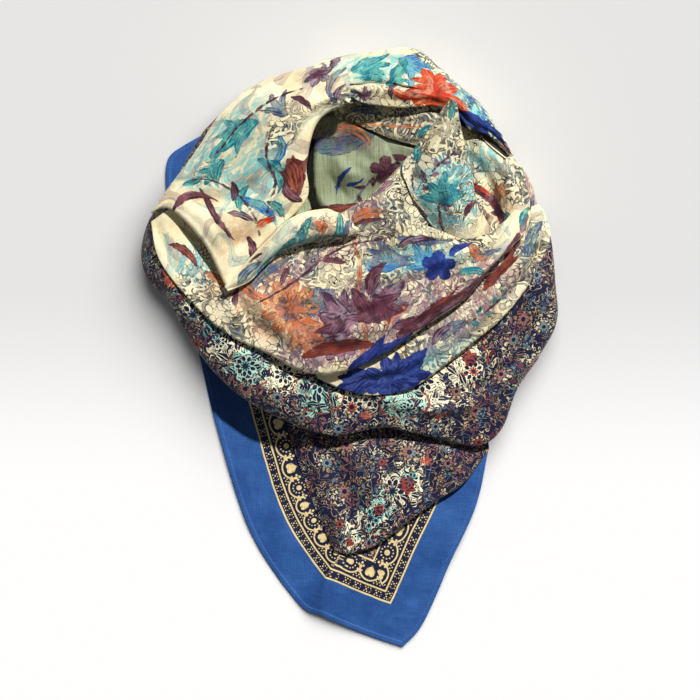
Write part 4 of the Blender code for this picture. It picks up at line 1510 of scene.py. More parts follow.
@node_group(
    "Painted layer",
    "Under c, Reach, Wobble, Tone, Rib, Deep c, Light c, Ink c, Line 0.5, Bare 0.3, Broken 1",
    "Color c",
)
def painted_layer(tree, under, reach, wobble, tone, rib, deep, light, ink, line, bare, broken):
    """One colour of the print, brushed over what is under it, with a broken drawn edge."""
    reach = reach + wobble - (tone - 0.5) * bare * 1.5
    body = tree.mix(tone.smooth(0.1, 0.85), deep, light)
    # The paint stains what is under it, and thin strokes let it through.
    wash = tree.mix(0.9, under, light, "MULTIPLY")
    paint = tree.mix(tone.smooth(0.15, 0.7) * bare, body, wash)
    drawn = line * broken
    paint = tree.mix(rib * drawn, paint, ink)
    edge = 1.0 - abs(reach - 0.3).smooth(0.3, 0.9)
    paint = tree.mix(edge * drawn, paint, ink)
    return (tree.mix(reach.edge(0.5), under, paint),)


@node_group("Silk weave", "Vector v, Thread 0.5, Slub 0.1", "Tone, Height")
def silk_weave(tree, places, thread, slub):
    """The plain weave with its uneven threads: a tone to multiply the colour by, and a height."""
    uneven = places.streaks(0.9, 14.0, 2.0) + places.streaks(14.0, 0.9, 2.0) - 1.0
    x, y, _ = (places * (HALF_TURN / thread)).parts()
    return uneven * slub + 1.0, x.math("SINE") * y.math("SINE") * 0.25 + uneven


# The printed border's sizes, in millimetres from its outer edge.
RULES = ((0.8, 0.85), (10.4, 0.8), (34.0, 0.75))
"""Its lines: place and half width."""
DOTS = ((3.4, 3.0, 0.62), (7.8, 3.0, 0.62), (5.6, 6.0, 0.8))
"""Its rows of dots: place, step and radius."""
CLUSTER_STEP, CLUSTER_GAP = 12.0, 0.28
"""The dots' clusters: their step, and the share of it that is bare."""
MOTIF_BAND = (11.0, 33.4)
ARC_MIDDLE, ARC_RISE, ARC_LINE = 24.6, 10.2, 0.75
KNOT = ((0, -0.2, 1.7), (2.7, -1.6, 1.15), (0, -4.0, 1.25), (2.4, 3.4, 1.0))
SPECKS = (
    (0, 5.6, 0.7), (1.7, 8.4, 0.7), (0, 10.4, 0.7), (3.8, 10.8, 0.7), (1.9, -7.2, 0.6), (0, -8.0, 0.6)
)
"""The discs where two arcs meet: place along the border, place across it from the arcs', radius."""
EYE_RADIUS = 2.8
BEADS, BEAD_STEP, BEAD_RING, BEAD_RADIUS = 12, 3.1, 6.2, 0.75
HEART_SIZE, HEART_DROP = 4.6, 0.4
BAND_WIDTH = 35.0


@node_group("Guilloche", "Depth, Travel, Plain 38, Repeat 24", "Band, Cream, Field")
def guilloche(tree, depth, travel, plain, repeat):
    """The printed border by the distance from the hem: lines, dot clusters, arcs, hearts and discs."""
    depth = depth - plain
    y = depth - ARC_MIDDLE

    def distance(x, y):
        return (x * x + y * y).math("SQRT")

    def line(centre, half):
        return (half - abs(depth - centre)).edge(0.25)

    def disc(x, y, radius):
        return (radius - distance(x, y)).edge(0.25)

    def discs(x, rows):
        return tree.largest(*(disc(x + along, y + down, radius) for along, down, radius in rows))

    def within(step):
        """Where travel is within its own step, from the step's middle."""
        return ((travel / step).fraction() - 0.5) * step

    local = within(repeat)
    odd = (travel / repeat * 0.5).fraction() > 0.5
    rules = tree.largest(*(line(*rule) for rule in RULES))
    # Dot clusters in the narrow band: two rows of small dots, and larger ones between.
    dots = tree.largest(*(disc(within(step), depth - row, radius) for row, step, radius in DOTS))
    dots = dots * ((travel / CLUSTER_STEP).fraction() > CLUSTER_GAP)
    # Arcs that bulge towards the hem, with a knot where two meet.
    half = repeat * 0.5
    bowed = distance(local * ARC_RISE / half, y)
    arc = (ARC_LINE - abs(bowed - ARC_RISE)).edge(0.25) * (y < 0.0)
    beside = abs(local) - half
    knot = discs(beside, KNOT)
    specks = discs(beside, SPECKS)
    # Every second arc holds a disc ringed by dots, and the others a heart.
    turn = y.math("ARCTAN2", local) * (BEADS / WHOLE_TURN)
    beads = disc((turn.fraction() - 0.5) * BEAD_STEP, distance(local, y) - BEAD_RING, BEAD_RADIUS)
    eye = tree.largest(disc(local, y, EYE_RADIUS), beads)
    heart_x, heart_y = local / HEART_SIZE, (y + HEART_DROP) / -HEART_SIZE
    across = heart_x * heart_x
    lobe = across + heart_y * heart_y - 1.0
    heart = (across * (heart_y * (heart_y * heart_y)) - lobe * lobe * lobe).edge(0.1)
    charm = eye * odd + heart * (1.0 - odd)
    start, end = MOTIF_BAND
    motifs = tree.largest(arc, knot, specks, charm) * ((depth > start) * (depth < end))
    cream = tree.largest(rules, motifs, dots * (depth < start - 1.0))
    return depth.edge(), cream, depth.smooth(BAND_WIDTH - 0.2, BAND_WIDTH + 0.2)


# Materials.

def new_material(name):
    material = bpy.data.materials.new(name)
    material.use_nodes = True
    return Tree(material.node_tree)


def silk_surface(tree, colour, tone, height, roughness):
    """The silk's shader: its colour, crossed by the weave, and its soft sheen."""
    woven = tree.add("ShaderNodeCombineColor", {0: tone, 1: tone, 2: tone})[0]
    bump = tree.add("ShaderNodeBump", {"Strength": 0.35, "Distance": 0.0003, "Height": height})
    shader = tree.add("ShaderNodeBsdfPrincipled", {
        "Base Color": tree.mix(1.0, colour, woven, "MULTIPLY"),
        "Roughness": roughness,
        "Normal": bump[0],
        "Specular IOR Level": 0.24,
        "Sheen Weight": 0.1,
        "Sheen Roughness": 0.45,
    })
    tree.add("ShaderNodeOutputMaterial", {"Surface": shader[0]})


def woven_surface(tree, places, colour, slub):
    """The silk's shader with its weave and fine rumples."""
    weave = tree.group("Silk weave", Vector=places, Thread=0.55, Slub=slub)
    rumple = places.noise(5.0, 3.0)
    height = rumple * 2.2 + weave["Height"]
    silk_surface(tree, colour, weave["Tone"], height, rumple * 0.16 + 0.56)


def centre_silk(colours):
    """The light centre: cream with grey scrollwork and washes, under painted leaves and flowers."""
    tree = new_material("Centre silk")
    places = tree.attribute("cloth_place", "Vector")
    stain = places.noise(34.0, 3.0)
    ground = tree.mix(stain.smooth(0.3, 0.7), colours.cream, colours.cream_shade)
    sage = tree.attribute("sage")
    pale = places.streaks(1.4, 46.0, 3.0) + (stain * 1.4 - 0.7)
    green = tree.mix(pale.smooth(0.05, 0.95), colours.sage, colours.sage_light)
    ground = tree.mix(sage.smooth(-6.0, 6.0), ground, green)
    scrolls = tree.group("Damask", Vector=places)
    figured = tree.attribute("damask")
    share = figured.smooth(-7.0, 5.0)
    grey = tree.mix(0.7, colours.grey, tree.mix(1.0, ground, colours.grey, "MULTIPLY"))
    colour = tree.mix(scrolls["Wash"] * (share * 0.95 + 0.04), ground, grey)
    colour = tree.mix(scrolls["Line"] * (share * 0.94 + 0.04), colour, colours.ink)
    # Watercolour stains, brushed in streaks over the scrollwork.
    feeds = {"Vector": places, "Angle": 0.8}
    slanted = tree.add("ShaderNodeVectorRotate", feeds, rotation_type="Z_AXIS")[0]
    streaks = slanted.streaks(16.0, 5.0, 4.0, twist=0.8)
    for name, paint, most in (
        ("aqua", colours.aqua, 0.9),
        ("rose", colours.peach_light, 0.8),
        ("dusk", colours.mauve_light, 0.85),
    ):
        share = tree.attribute(name).smooth(-9.0, 7.0) * streaks.smooth(0.36, 0.56)
        colour = tree.mix(share * most, colour, tree.stained(0.45, colour, paint))
    broken = places.noise(11.0, 2.0).smooth(0.4, 0.56)
    # Faint blades between the larger motifs.
    bent = places.drifted(60.0, 80.0)
    free = figured.smooth(3.0, -12.0) * 0.3 + 0.25
    for cell, length, width, shift, *paints in (
        (46.0, 36.0, 5.2, 0.0, colours.slate, colours.mauve_light),
        (40.0, 28.0, 4.2, 300.0, colours.sky, colours.teal_light),
    ):
        moved = bent + (shift, shift, 0.0)
        blades = tree.group("Leaflets", Vector=moved, Cell=cell, Length=length, Width=width)
        paint = tree.mix(streaks.smooth(0.42, 0.56), *paints)
        share = blades["Fill"] * (blades["Chance"] > 0.3) * sage.smooth(4.0, -6.0) * free
        colour = tree.mix(share * 0.75, colour, tree.stained(0.5, colour, paint))
        line = blades["Edge"] * broken * share
        colour = tree.mix(line * 0.8, colour, colours.ink)
    brush = tree.group("Brushwork", Vein=tree.attribute("vein", "Vector"), Vector=places)
    wobble = places.noise(7.0, 3.0) * 4.0 - 2.0
    turn = places.noise(17.0, 2.0).smooth(0.48, 0.62) * 0.6
    # The last layer is near-black painted shade, laid over the shadowed gap at the neck hollow's left edge and on the
    # strip under the collar roll's end.
    for name, companion in COMPANIONS.items():
        light, other = getattr(colours, name + "_light"), getattr(colours, companion + "_light")
        colour = tree.group(
            "Painted layer",
            Under=colour,
            Reach=tree.attribute(name),
            Wobble=wobble,
            Tone=brush["Tone"],
            Rib=brush["Rib"],
            Deep=getattr(colours, name),
            Light=tree.mix(turn, light, other),
            Ink=colours.ink,
            Line=0.62 if name in DRAWN_COLOURS else 0.4,
            Bare=0.95 if name in BRUSHED_COLOURS else 0.45,
            Broken=broken,
        )["Color"]
    woven_surface(tree, places, colour, 0.34)


def field_colour(tree, places, colours):
    """The dark outer field: navy under gold stems and flowers, with lighter patches and medallions."""
    scrolls = places.noise(12.0, 0.6, twist=1.6)

    def within(name, swing):
        return (tree.attribute(name) + (scrolls * swing - swing / 2)).edge(0.4)

    light, mint, turquoise = (within(name, 34.0) for name in ("light", "mint", "turquoise"))
    pale = tree.largest(light, mint, turquoise)
    ground = colours.navy
    for share, paint in (
        (light, colours.cream),
        (mint, colours.mint),
        (turquoise, colours.turquoise),
        (within("brick", 3.0), colours.brick_light),
    ):
        ground = tree.mix(share, ground, paint)
    spread = places.noise(30.0, 2.0).smooth(0.44, 0.62)
    thread = tree.mix(spread, colours.gold, colours.cream_shade)
    tint = places.noise(24.0, 1.0).smooth(0.47, 0.53)
    dusty = tree.mix(tint, colours.dusty_teal, colours.dusty_rose)
    thread = tree.mix(places.noise(17.0, 1.0).smooth(0.53, 0.6), thread, dusty)
    return tree.group(
        "Arabesque",
        Vector=places,
        Pale=pale,
        Ground=ground,
        Vine=tree.mix(pale, thread, colours.navy),
        Leaf=tree.mix(pale, dusty, colours.deep_teal),
        Flower=colours.navy,
        Accent=colours.brick_light,
    )["Color"]


def band_silk(colours):
    """A stitched hem, a plain blue border, the printed band and then the dark field."""
    tree = new_material("Border and field silk")
    places = tree.attribute("cloth_place", "Vector")
    left = tree.attribute("left_hem", "Vector").parts()
    right = tree.attribute("right_hem", "Vector").parts()
    depth = left[0].math("MINIMUM", right[0])
    travel = (left[0] < right[0]).between(right[1], left[1])
    drift = places.noise(26.0, 2.0) * 1.2 - 0.6
    border = tree.group("Guilloche", Depth=depth + drift, Travel=travel)
    stain = places.noise(28.0, 4.0).smooth(0.3, 0.7)
    blue = tree.mix(stain, colours.blue, colours.blue_light)
    hem = (5.2 - depth).edge(0.3)
    blue = tree.mix(hem * 0.35, blue, colours.blue_light)
    band = tree.mix(border["Band"], blue, colours.navy)
    colour = tree.mix(border["Field"], band, field_colour(tree, places, colours))
    colour = tree.mix(border["Cream"], colour, colours.line)
    woven_surface(tree, places, colour, 0.55)


def plies_silk(colours):
    """The edges of the hidden plies, each with its own colour of the print."""
    tree = new_material("Hidden silk")
    places = tree.object_places() * 1000.0
    share = tree.attribute("ply")
    colour = tree.mix(share > 0.34, colours.navy, colours.blue)
    colour = tree.mix(share > 0.67, colour, colours.cream_shade)
    woven_surface(tree, places, colour, 0.2)


def thread_silk(colours):
    tree = new_material("Blue thread")
    twist = (tree.object_places() * 1000.0).noise(0.4, 1.0)
    colour = tree.mix(twist, colours.blue, colours.thread)
    silk_surface(tree, colour, 1.0, twist, twist * 0.2 + 0.45)


# Pieces.

def link(name, data):
    obj = bpy.data.objects.new(name, data)
    bpy.context.scene.collection.objects.link(obj)
    return obj


def finish_piece(obj, slot, *nodes):
    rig.ride(obj, "root")
    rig.slot(obj, slot)
    if nodes:
        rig.replaces(obj, *nodes)


def new_object(name, points, faces, material, numbers, vectors):
    mesh = bpy.data.meshes.new(name)
    mesh.from_pydata(board_to_world(points).tolist(), [], faces)
    for label, values in numbers.items():
        mesh.attributes.new(label, "FLOAT", "POINT").data.foreach_set("value", values.astype(np.float32))
    for label, values in vectors.items():
        layer = mesh.attributes.new(label, "FLOAT_VECTOR", "POINT")
        layer.data.foreach_set("vector", values.astype(np.float32).ravel())
    mesh.shade_smooth()
    mesh.set_sharp_from_angle(angle=math.radians(SHARP_ANGLE))
    mesh.materials.append(bpy.data.materials[material])
    return link(name, mesh)


def flat_cut(grid):
    """The stretch's own cut: its width, length and area, in metres."""
    down = np.linalg.norm(np.diff(grid, axis=0), axis=-1).sum(axis=0).max()
    across = np.linalg.norm(np.diff(grid, axis=1), axis=-1).sum(axis=1).max()
    corner = np.cross(grid[1:, :-1] - grid[:-1, :-1], grid[:-1, 1:] - grid[:-1, :-1])
    opposite = np.cross(grid[1:, :-1] - grid[1:, 1:], grid[:-1, 1:] - grid[1:, 1:])
    area = 0.5 * (lengths(corner).sum() + lengths(opposite).sum())
    return float(across) * MM, float(down) * MM, float(area) * MM**2


def hem_facts(stretch, places):
    """Distance from each hem of the corner that a piece lies on, and the distance along that hem."""
    net = net_of(stretch)[0][..., :2]
    facts = {}
    for side, label, line in (("root", "left_hem", net[:, 0]), ("start", "right_hem", net[0])):
        facts[label] = np.full(places.shape[:-1] + (3,), FAR_FROM_HEM)
        if side in stretch["hems"]:
            distance, _, travel, _ = nearest_on(curve_through(line, HEM_STEP), places)
            facts[label] = np.stack([distance, travel, 0 * travel], axis=-1)
    return facts


def lay(name, sizes, heap):
    """Shapes one stretch on top of the heap and makes its piece."""
    stretch = STRETCHES[name]
    seed = 10 * list(STRETCHES).index(name)
    hemmed, bordered = bool(stretch["hems"]), stretch["silk"] == "border"
    grid, radius, end_radius = sampled(stretch, sizes.mesh / MM)
    up = 1.0 if normals_of(grid)[grid.shape[0] // 2, grid.shape[1] // 2, 2] > 0 else -1.0
    wall = sizes.wall / MM
    grid = softened(grid, up, stretch["creases"], sizes.rumple / MM, seed)
    grid, pads = rolled(grid, radius, end_radius, stretch["rolls"], wall, heap)
    hems = hem_facts(stretch, grid[..., :2])
    depth = np.minimum(hems["left_hem"][..., 0], hems["right_hem"][..., 0])
    fallen, falling = (-distance for distance in reversed(HEM_FALL))
    swell = hemmed * smoothstep(depth, 0.0, HEM_RISE) * smoothstep(-depth, fallen, falling)
    thickness = wall + 2 * HEM_SWELL * swell
    grid = settled(grid, pads, thickness, heap)
    points, faces, upper = wall_of(grid, thickness, up)
    heap.add(upper)
    flat = unrolled(grid, stretch["axis"], stretch["anchor"])
    art = Artwork(flat, BAND_COLOURS if bordered else CENTRE_COLOURS).painted(PRINTS[stretch["print"]])
    turn = math.radians(stretch["turn"])
    turned = flat @ np.array([[math.cos(turn), math.sin(turn)], [-math.sin(turn), math.cos(turn)]])
    place = np.zeros((turned[..., 0].size, 3))
    place[:, :2] = turned.reshape(-1, 2) + (stretch["shift_x"], stretch["shift_y"])
    vectors = {"cloth_place": place, "vein": art.vein}
    material, slot = "Centre silk", "centre_silk"
    if bordered:
        vectors |= {label: values.reshape(-1, 3) for label, values in hems.items()}
        material, slot = "Border and field silk", "blue_border_silk" if hemmed else "navy_field_silk"
    numbers = {label: np.tile(values, 2) for label, values in art.reach.items()}
    vectors = {label: np.tile(values, (2, 1)) for label, values in vectors.items()}
    obj = new_object(name + "_silk", points, faces.tolist(), material, numbers, vectors)
    finish_piece(obj, slot, name)
    return obj, upper, hems, flat_cut(grid)


# The hidden plies.

def plies_grid():
    """The heap's plies on a grid: rows from the middle of the underside up to the middle of the top."""
    angles = np.linspace(0, 360, CORE_SIDES + 1)
    looped = np.array([CORE_REACH, CORE_SIDE], float)
    looped = np.concatenate([looped[:, -3:], looped, looped[:, :4]], axis=1)
    reach, side = (along(values, angles / CORE_STEP + 3, 0) for values in looped)
    rng = np.random.default_rng(CORE_SEED)
    rows = [(share * reach, 0 * side, 0.0) for share in CORE_BASE]
    cuts = np.concatenate([[0], np.cumsum(rng.uniform(*PLY_SHARES, CORE_PLIES))])
    cuts /= cuts[-1]
    for low, high in zip(cuts[:-1], cuts[1:]):
        tone = rng.uniform()
        phase = np.radians(angles) * rng.integers(*PLY_WAVES) + rng.uniform(0, PLY_PHASE)
        wave = PLY_WAVE * np.sin(phase)
        inset = PLY_WAVE + wave
        for k in range(PLY_STEPS):
            t = (k + 0.5) / PLY_STEPS
            bulge = PLY_GROOVE * math.sqrt(max(0.0, 1 - (2 * t - 1) ** 2))
            rows.append((reach - PLY_GROOVE - inset + bulge, (low + t * (high - low)) * side, tone))
    for share, rise, height in CORE_TOP:
        rows.append((share * reach, rise * side + height, CORE_TOP_TONE))
    turn = np.radians(angles)
    grid = np.array([
        np.stack([CORE_MIDDLE[0] + r * np.cos(turn), CORE_MIDDLE[1] - r * np.sin(turn), z], axis=-1)
        for r, z, _ in rows
    ])
    # The neck hollow reaches down between the plies.
    away = np.hypot((grid[..., 0] - HOLLOW[0]) / HOLLOW[2], (grid[..., 1] - HOLLOW[1]) / HOLLOW[3])
    dip = HOLLOW_DEPTH * smoothstep(-away, -1.0, -HOLLOW_FLOOR)
    grid[..., 2] -= np.where(grid[..., 2] > HOLLOW_FROM, dip, 0)
    return grid, np.array([tone for *_, tone in rows])


def lay_plies(heap):
    grid, tones = plies_grid()
    heap.add(grid[2 + CORE_PLIES * PLY_STEPS - 1 :])
    grid = grid[:, :-1]
    rows, columns = grid.shape[:2]
    index = np.arange(rows * columns).reshape(rows, columns)
    following = np.roll(index, -1, axis=1)
    faces = np.stack([index[:-1], following[:-1], following[1:], index[1:]], axis=-1)
    faces = faces.reshape(-1, 4).tolist()
    points = grid.reshape(-1, 3)
    under, over = len(points), len(points) + 1
    points = np.concatenate([points, [(*CORE_MIDDLE, 0.0), (*CORE_MIDDLE, CORE_TOP[-1][2])]])
    faces += [(after, before, under) for before, after in zip(index[0].tolist(), following[0].tolist())]
    faces += [(before, after, over) for before, after in zip(index[-1].tolist(), following[-1].tolist())]
    tones = np.append(np.repeat(tones, columns), (CORE_TOP_TONE, CORE_TOP_TONE))
    obj = new_object("hidden_plies", points, faces, "Hidden silk", {"ply": tones}, {})
    finish_piece(obj, "hidden_silk", "hidden_folds")


# The hem's stitches.

def make_stitch_nodes():
    """Short round stitches along a curve, evenly spaced."""
    group = bpy.data.node_groups.new("Hem stitches", "GeometryNodeTree")
    add_socket(group, "INPUT", "Geometry", "Geometry")
    for label, default in (("Spacing", 0.0032), ("Length", 0.0022), ("Thickness", 0.0006)):
        add_socket(group, "INPUT", label, "Float", default).subtype = "DISTANCE"
    add_socket(group, "INPUT", "Thread", "Material")
    add_socket(group, "OUTPUT", "Geometry", "Geometry")
    tree = Tree(group)
    given = tree.add("NodeGroupInput")
    feeds = {"Curve": given["Geometry"], "Length": given["Spacing"]}
    spots = tree.add("GeometryNodeCurveToPoints", feeds, mode="LENGTH")
    ball = tree.add("GeometryNodeMeshIcoSphere", {"Radius": 0.5, "Subdivisions": 2})[0]
    width = given["Thickness"]
    size = tree.add("ShaderNodeCombineXYZ", {0: width, 1: width, 2: given["Length"]})[0]
    feeds = {"Points": spots["Points"], "Instance": ball, "Rotation": spots["Rotation"], "Scale": size}
    copies = tree.add("GeometryNodeInstanceOnPoints", feeds)[0]
    real = tree.add("GeometryNodeRealizeInstances", {0: copies})[0]
    smooth = tree.add("GeometryNodeSetShadeSmooth", {"Geometry": real})[0]
    done = tree.add("GeometryNodeSetMaterial", {"Geometry": smooth, "Material": given["Thread"]})[0]
    tree.add("NodeGroupOutput", {0: done})
    return group


def row_at_depth(grid, depth, other, wanted):
    """Where each line of a grid, walked from its hem, first lies the wanted distance inside it."""
    found = []
    for line, depths, clear in zip(grid, depth, other):
        k = int(np.argmax(depths > wanted))
        if k == 0 or clear[k] < wanted:
            continue
        t = (wanted - depths[k - 1]) / (depths[k] - depths[k - 1])
        found.append(line[k - 1] + t * (line[k] - line[k - 1]))
    return np.array(found)


def stitch(name, lines, sizes):
    """One stitched seam along each line, as a single mesh."""
    group = bpy.data.node_groups.get("Hem stitches") or make_stitch_nodes()
    curve = bpy.data.curves.new(name, "CURVE")
    curve.dimensions = "3D"
    for line in lines:
        world = board_to_world(line)
        spline = curve.splines.new("POLY")
        spline.points.add(len(world) - 1)
        spline.points.foreach_set("co", np.append(world, np.ones((len(world), 1)), axis=1).ravel())
    seam = link(name + "_path", curve)
    modifier = seam.modifiers.new("Stitches", "NODES")
    modifier.node_group = group
    wanted = {
        "Spacing": sizes.stitch_step,
        "Length": STITCH_SHARE * sizes.stitch_step,
        "Thickness": sizes.thread,
        "Thread": bpy.data.materials["Blue thread"],
    }
    for item in group.interface.items_tree:
        if item.in_out == "INPUT" and item.name in wanted:
            modifier[item.identifier] = wanted[item.name]
    evaluated = seam.evaluated_get(bpy.context.evaluated_depsgraph_get())
    mesh = bpy.data.meshes.new_from_object(evaluated)
    mesh.name = name
    bpy.data.objects.remove(seam)
    obj = link(name, mesh)
    finish_piece(obj, "blue_border_silk")
    return obj


# The studio.

def add_sun(name, energy, width, look, floor, state):
    """A wide lamp that lights only the floor, or everything but the floor."""
    light = bpy.data.lights.new(name, "SUN")
    light.energy = energy
    light.angle = width
    light.color = LAMP_COLOUR
    lamp = link(name, light)
    lamp.rotation_euler = (-math.radians(90) + look.key_rise, 0, look.key_turn)
    group = bpy.data.collections.new(name + " receivers")
    group.objects.link(floor)
    group.collection_objects[0].light_linking.link_state = state
    lamp.light_linking.receiver_collection = group


def add_floor(look):
    mesh = bpy.data.meshes.new("floor")
    corners = [(-1, -1), (1, -1), (1, 1), (-1, 1)]
    points = [(x * FLOOR_HALF, y * FLOOR_HALF, FLOOR_HEIGHT) for x, y in corners]
    mesh.from_pydata(points, [], [(0, 1, 2, 3)])
    tree = new_material("Pale floor")
    _, rise, _ = tree.object_places().parts()
    # Painted shade: the table is painted white near the camera and grey far off, as the light falls off across it.
    colour = tree.mix(rise.smooth(*FLOOR_FADE), look.floor_near, look.floor)
    feeds = {"Base Color": colour, "Roughness": 0.9, "Specular IOR Level": 0.0}
    shader = tree.add("ShaderNodeBsdfPrincipled", feeds)
    tree.add("ShaderNodeOutputMaterial", {"Surface": shader[0]})
    mesh.materials.append(bpy.data.materials["Pale floor"])
    floor = link("floor", mesh)
    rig.stage(floor)
    return floor


def light_studio(look):
    scene = bpy.context.scene
    floor = add_floor(look)
    # The key draws crisp folds in the silk, and a wide sun gives the table soft shadows.
    add_sun("key", look.key, look.key_width, look, floor, "EXCLUDE")
    add_sun("wide key", look.wide, look.wide_width, look, floor, "INCLUDE")
    world = bpy.data.worlds.new("studio")
    world.use_nodes = True
    background = world.node_tree.nodes["Background"]
    background.inputs[0].default_value = (*FILL_COLOUR, 1)
    background.inputs[1].default_value = look.fill
    scene.world = world
    camera = bpy.data.cameras.new("camera")
    camera.sensor_width = SENSOR_WIDTH
    camera.lens = SENSOR_WIDTH * look.camera_height / (BOARD_SIDE * MM)
    eye = link("camera", camera)
    eye.location = (*CAMERA_PLACE, look.camera_height + CAMERA_LIFT)
    scene.camera = eye
    scene.view_settings.view_transform = "Standard"
    scene.view_settings.look = "None"


# The add-on.

def linear(code):
    """A hex colour as linear values."""
    values = [int(code[k : k + 2], 16) / 255 for k in (0, 2, 4)]
    return tuple(v / 12.92 if v <= 0.04045 else ((v + 0.055) / 1.055) ** 2.4 for v in values)


def colour_setting(name, code, words):
    return bpy.props.FloatVectorProperty(
        name=name, description=words, subtype="COLOR", size=3, min=0.0, max=1.0, default=linear(code)
    )


def length_setting(name, words, default):
    return bpy.props.FloatProperty(name=name, description=words, unit="LENGTH", default=default)


def angle_setting(name, words, default):
    return bpy.props.FloatProperty(name=name, description=words, subtype="ANGLE", default=default)


def strength_setting(name, words, default):
    return bpy.props.FloatProperty(name=name, description=words, default=default)


# Each paint: its name, its hex colour, and what it colours. The darkest pair is painted shade, for the shadowed gap at
# the neck hollow and the strip under the collar roll.
PAINTS = """
cream F6EDC9 the centre's ground, and the field's light patches
cream_shade E6D7AC stains on the centre, and the field's light stems
sage 7C8561 deep streaks of the sage patch
sage_light A4AF90 light streaks of the sage patch
aqua 8AD0DC watercolour stains
grey 565A62 the wash of the scrollwork
ink 16161F drawn lines
night 08080E darkest motifs
night_light 1C1420 darkest motifs, light strokes
navy 111636 the field and the printed border
deep_teal 16404A leaves on the field's light patches
dusty_teal 74888A the field's leaves
dusty_rose 9C6A62 the field's leaves, second shade
gold B39163 the field's stems
line E6CF94 the printed border's lines
mint B0D8C2 the field's mint patches
turquoise 78B4AE the field's turquoise patches
blue 214B8A the plain border
blue_light 2B5898 stains on the plain border, and its hem
thread 6C90C8 light strands of the hem's thread
slate 4E5678 slate motifs
slate_light A2A9B6 slate motifs, light strokes
mauve 3C1E36 mauve motifs
mauve_light A27A90 mauve motifs, light strokes
peach C4683C peach motifs
peach_light F4C6A2 peach motifs, light strokes
sky 2268AC sky motifs
sky_light 86C8E0 sky motifs, light strokes
teal 0E7484 teal motifs
teal_light 7AD2CC teal motifs, light strokes
plum 3E1A28 plum motifs
plum_light 783C50 plum motifs, light strokes
brick 54201C brick motifs
brick_light 9A3E2A brick motifs, light strokes, and the field's accents
scarlet B82C0C scarlet motifs
scarlet_light F2602A scarlet motifs, light strokes
cobalt 081A5A cobalt motifs
cobalt_light 153C9E cobalt motifs, light strokes
"""


class ScarfSizes(bpy.types.PropertyGroup):
    """The sizes of the cloth."""

    mesh: length_setting("Mesh step", "Distance between the mesh's lines", 0.0014)
    wall: length_setting("Cloth", "Thickness of the cloth", 0.0005)
    rumple: length_setting("Rumple", "Height of the soft unevenness", 0.0005)
    stitch_step: length_setting("Stitch", "Distance from stitch to stitch", 0.0032)
    thread: length_setting("Thread", "Thickness of the hem's thread", 0.0006)
    seam: length_setting("Seam", "Distance of the stitches from the edge", 0.0044)


class ScarfColours(bpy.types.PropertyGroup):
    """The colours of the print."""

    __annotations__ = {
        name: colour_setting(name.replace("_", " ").capitalize(), code, "Colour of " + words)
        for name, code, words in (paint.split(maxsplit=2) for paint in PAINTS.strip().splitlines())
    }


class ScarfStudio(bpy.types.PropertyGroup):
    """The table, the lights and the camera."""

    # The far and near table colours paint the studio light's fall-off across the table: painted shade.
    floor: colour_setting("Table", "E6E6E6", "Colour of the far part of the table")
    floor_near: colour_setting("Table, near", "FFFFFF", "Colour of the near part of the table")
    key: strength_setting("Key", "Strength of the key light", 4.75)
    key_width: angle_setting("Key width", "Angle that the key light fills", 0.06)
    key_rise: angle_setting("Key rise", "Height of the key light", math.radians(48))
    key_turn: angle_setting("Key turn", "Turn of the key light", math.radians(-28))
    wide: strength_setting("Wide", "Strength of the table's light", 3.78)
    wide_width: angle_setting("Wide width", "Angle that the table's light fills", 1.0)
    fill: strength_setting("Fill", "Strength of the soft fill", 0.12)
    camera_height: length_setting("Camera", "Height of the camera", 4.0)


LAID = {}
"""The heap, and each laid stretch's object, upper sheet, hems and cut."""


def declare(name, with_pieces=()):
    obj, _, _, (width, length, area) = LAID[name]
    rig.sheet(
        obj, flat=(width, length), held="folded", rests_on=STRETCHES[name]["on"], area=area,
        with_pieces=with_pieces,
    )


class SCARF_OT_materials(bpy.types.Operator):
    """Make the silk's finishes"""

    bl_idname = "scarf.materials"
    bl_label = "Silk finishes"

    def execute(self, context):
        for make in GROUPS:
            make()
        for make in (centre_silk, band_silk, plies_silk, thread_silk):
            make(context.scene.scarf_colours)
        return {"FINISHED"}


class SCARF_OT_plies(bpy.types.Operator):
    """Lay the hidden plies of the heap"""

    bl_idname = "scarf.plies"
    bl_label = "Hidden plies"

    def execute(self, context):
        LAID["heap"] = Heap()
        lay_plies(LAID["heap"])
        return {"FINISHED"}


def lay_each(context, *names):
    """Lays some stretches, one after the other. Those with a hem are declared when it is sewn."""
    for name in names:
        LAID[name] = lay(name, context.scene.scarf_sizes, LAID["heap"])
        if not STRETCHES[name]["hems"]:
            declare(name)
    return {"FINISHED"}


class SCARF_OT_corners(bpy.types.Operator):
    """Lay the two corners of the square that reach out of the heap"""

    bl_idname = "scarf.corners"
    bl_label = "Corners"

    def execute(self, context):
        return lay_each(context, "back_corner", "front_corner")


class SCARF_OT_stitches(bpy.types.Operator):
    """Sew the hems of the corners"""

    bl_idname = "scarf.stitches"
    bl_label = "Hem stitches"

    def execute(self, context):
        sizes = context.scene.scarf_sizes
        inset = sizes.seam / MM
        for name in ("back_corner", "front_corner"):
            _, upper, hems, _ = LAID[name]
            left, right = hems["left_hem"][..., 0], hems["right_hem"][..., 0]
            lines = [row_at_depth(upper, left, right, inset)]
            if "start" in STRETCHES[name]["hems"]:
                lines.append(row_at_depth(upper.transpose(1, 0, 2), right.T, left.T, inset))
            declare(name, (stitch(name + "_stitches", lines, sizes),))
        return {"FINISHED"}


class SCARF_OT_band(bpy.types.Operator):
    """Lay the dark outer band and its pleat"""

    bl_idname = "scarf.band"
    bl_label = "Dark band"

    def execute(self, context):
        return lay_each(context, "front_drape", "ring_band")


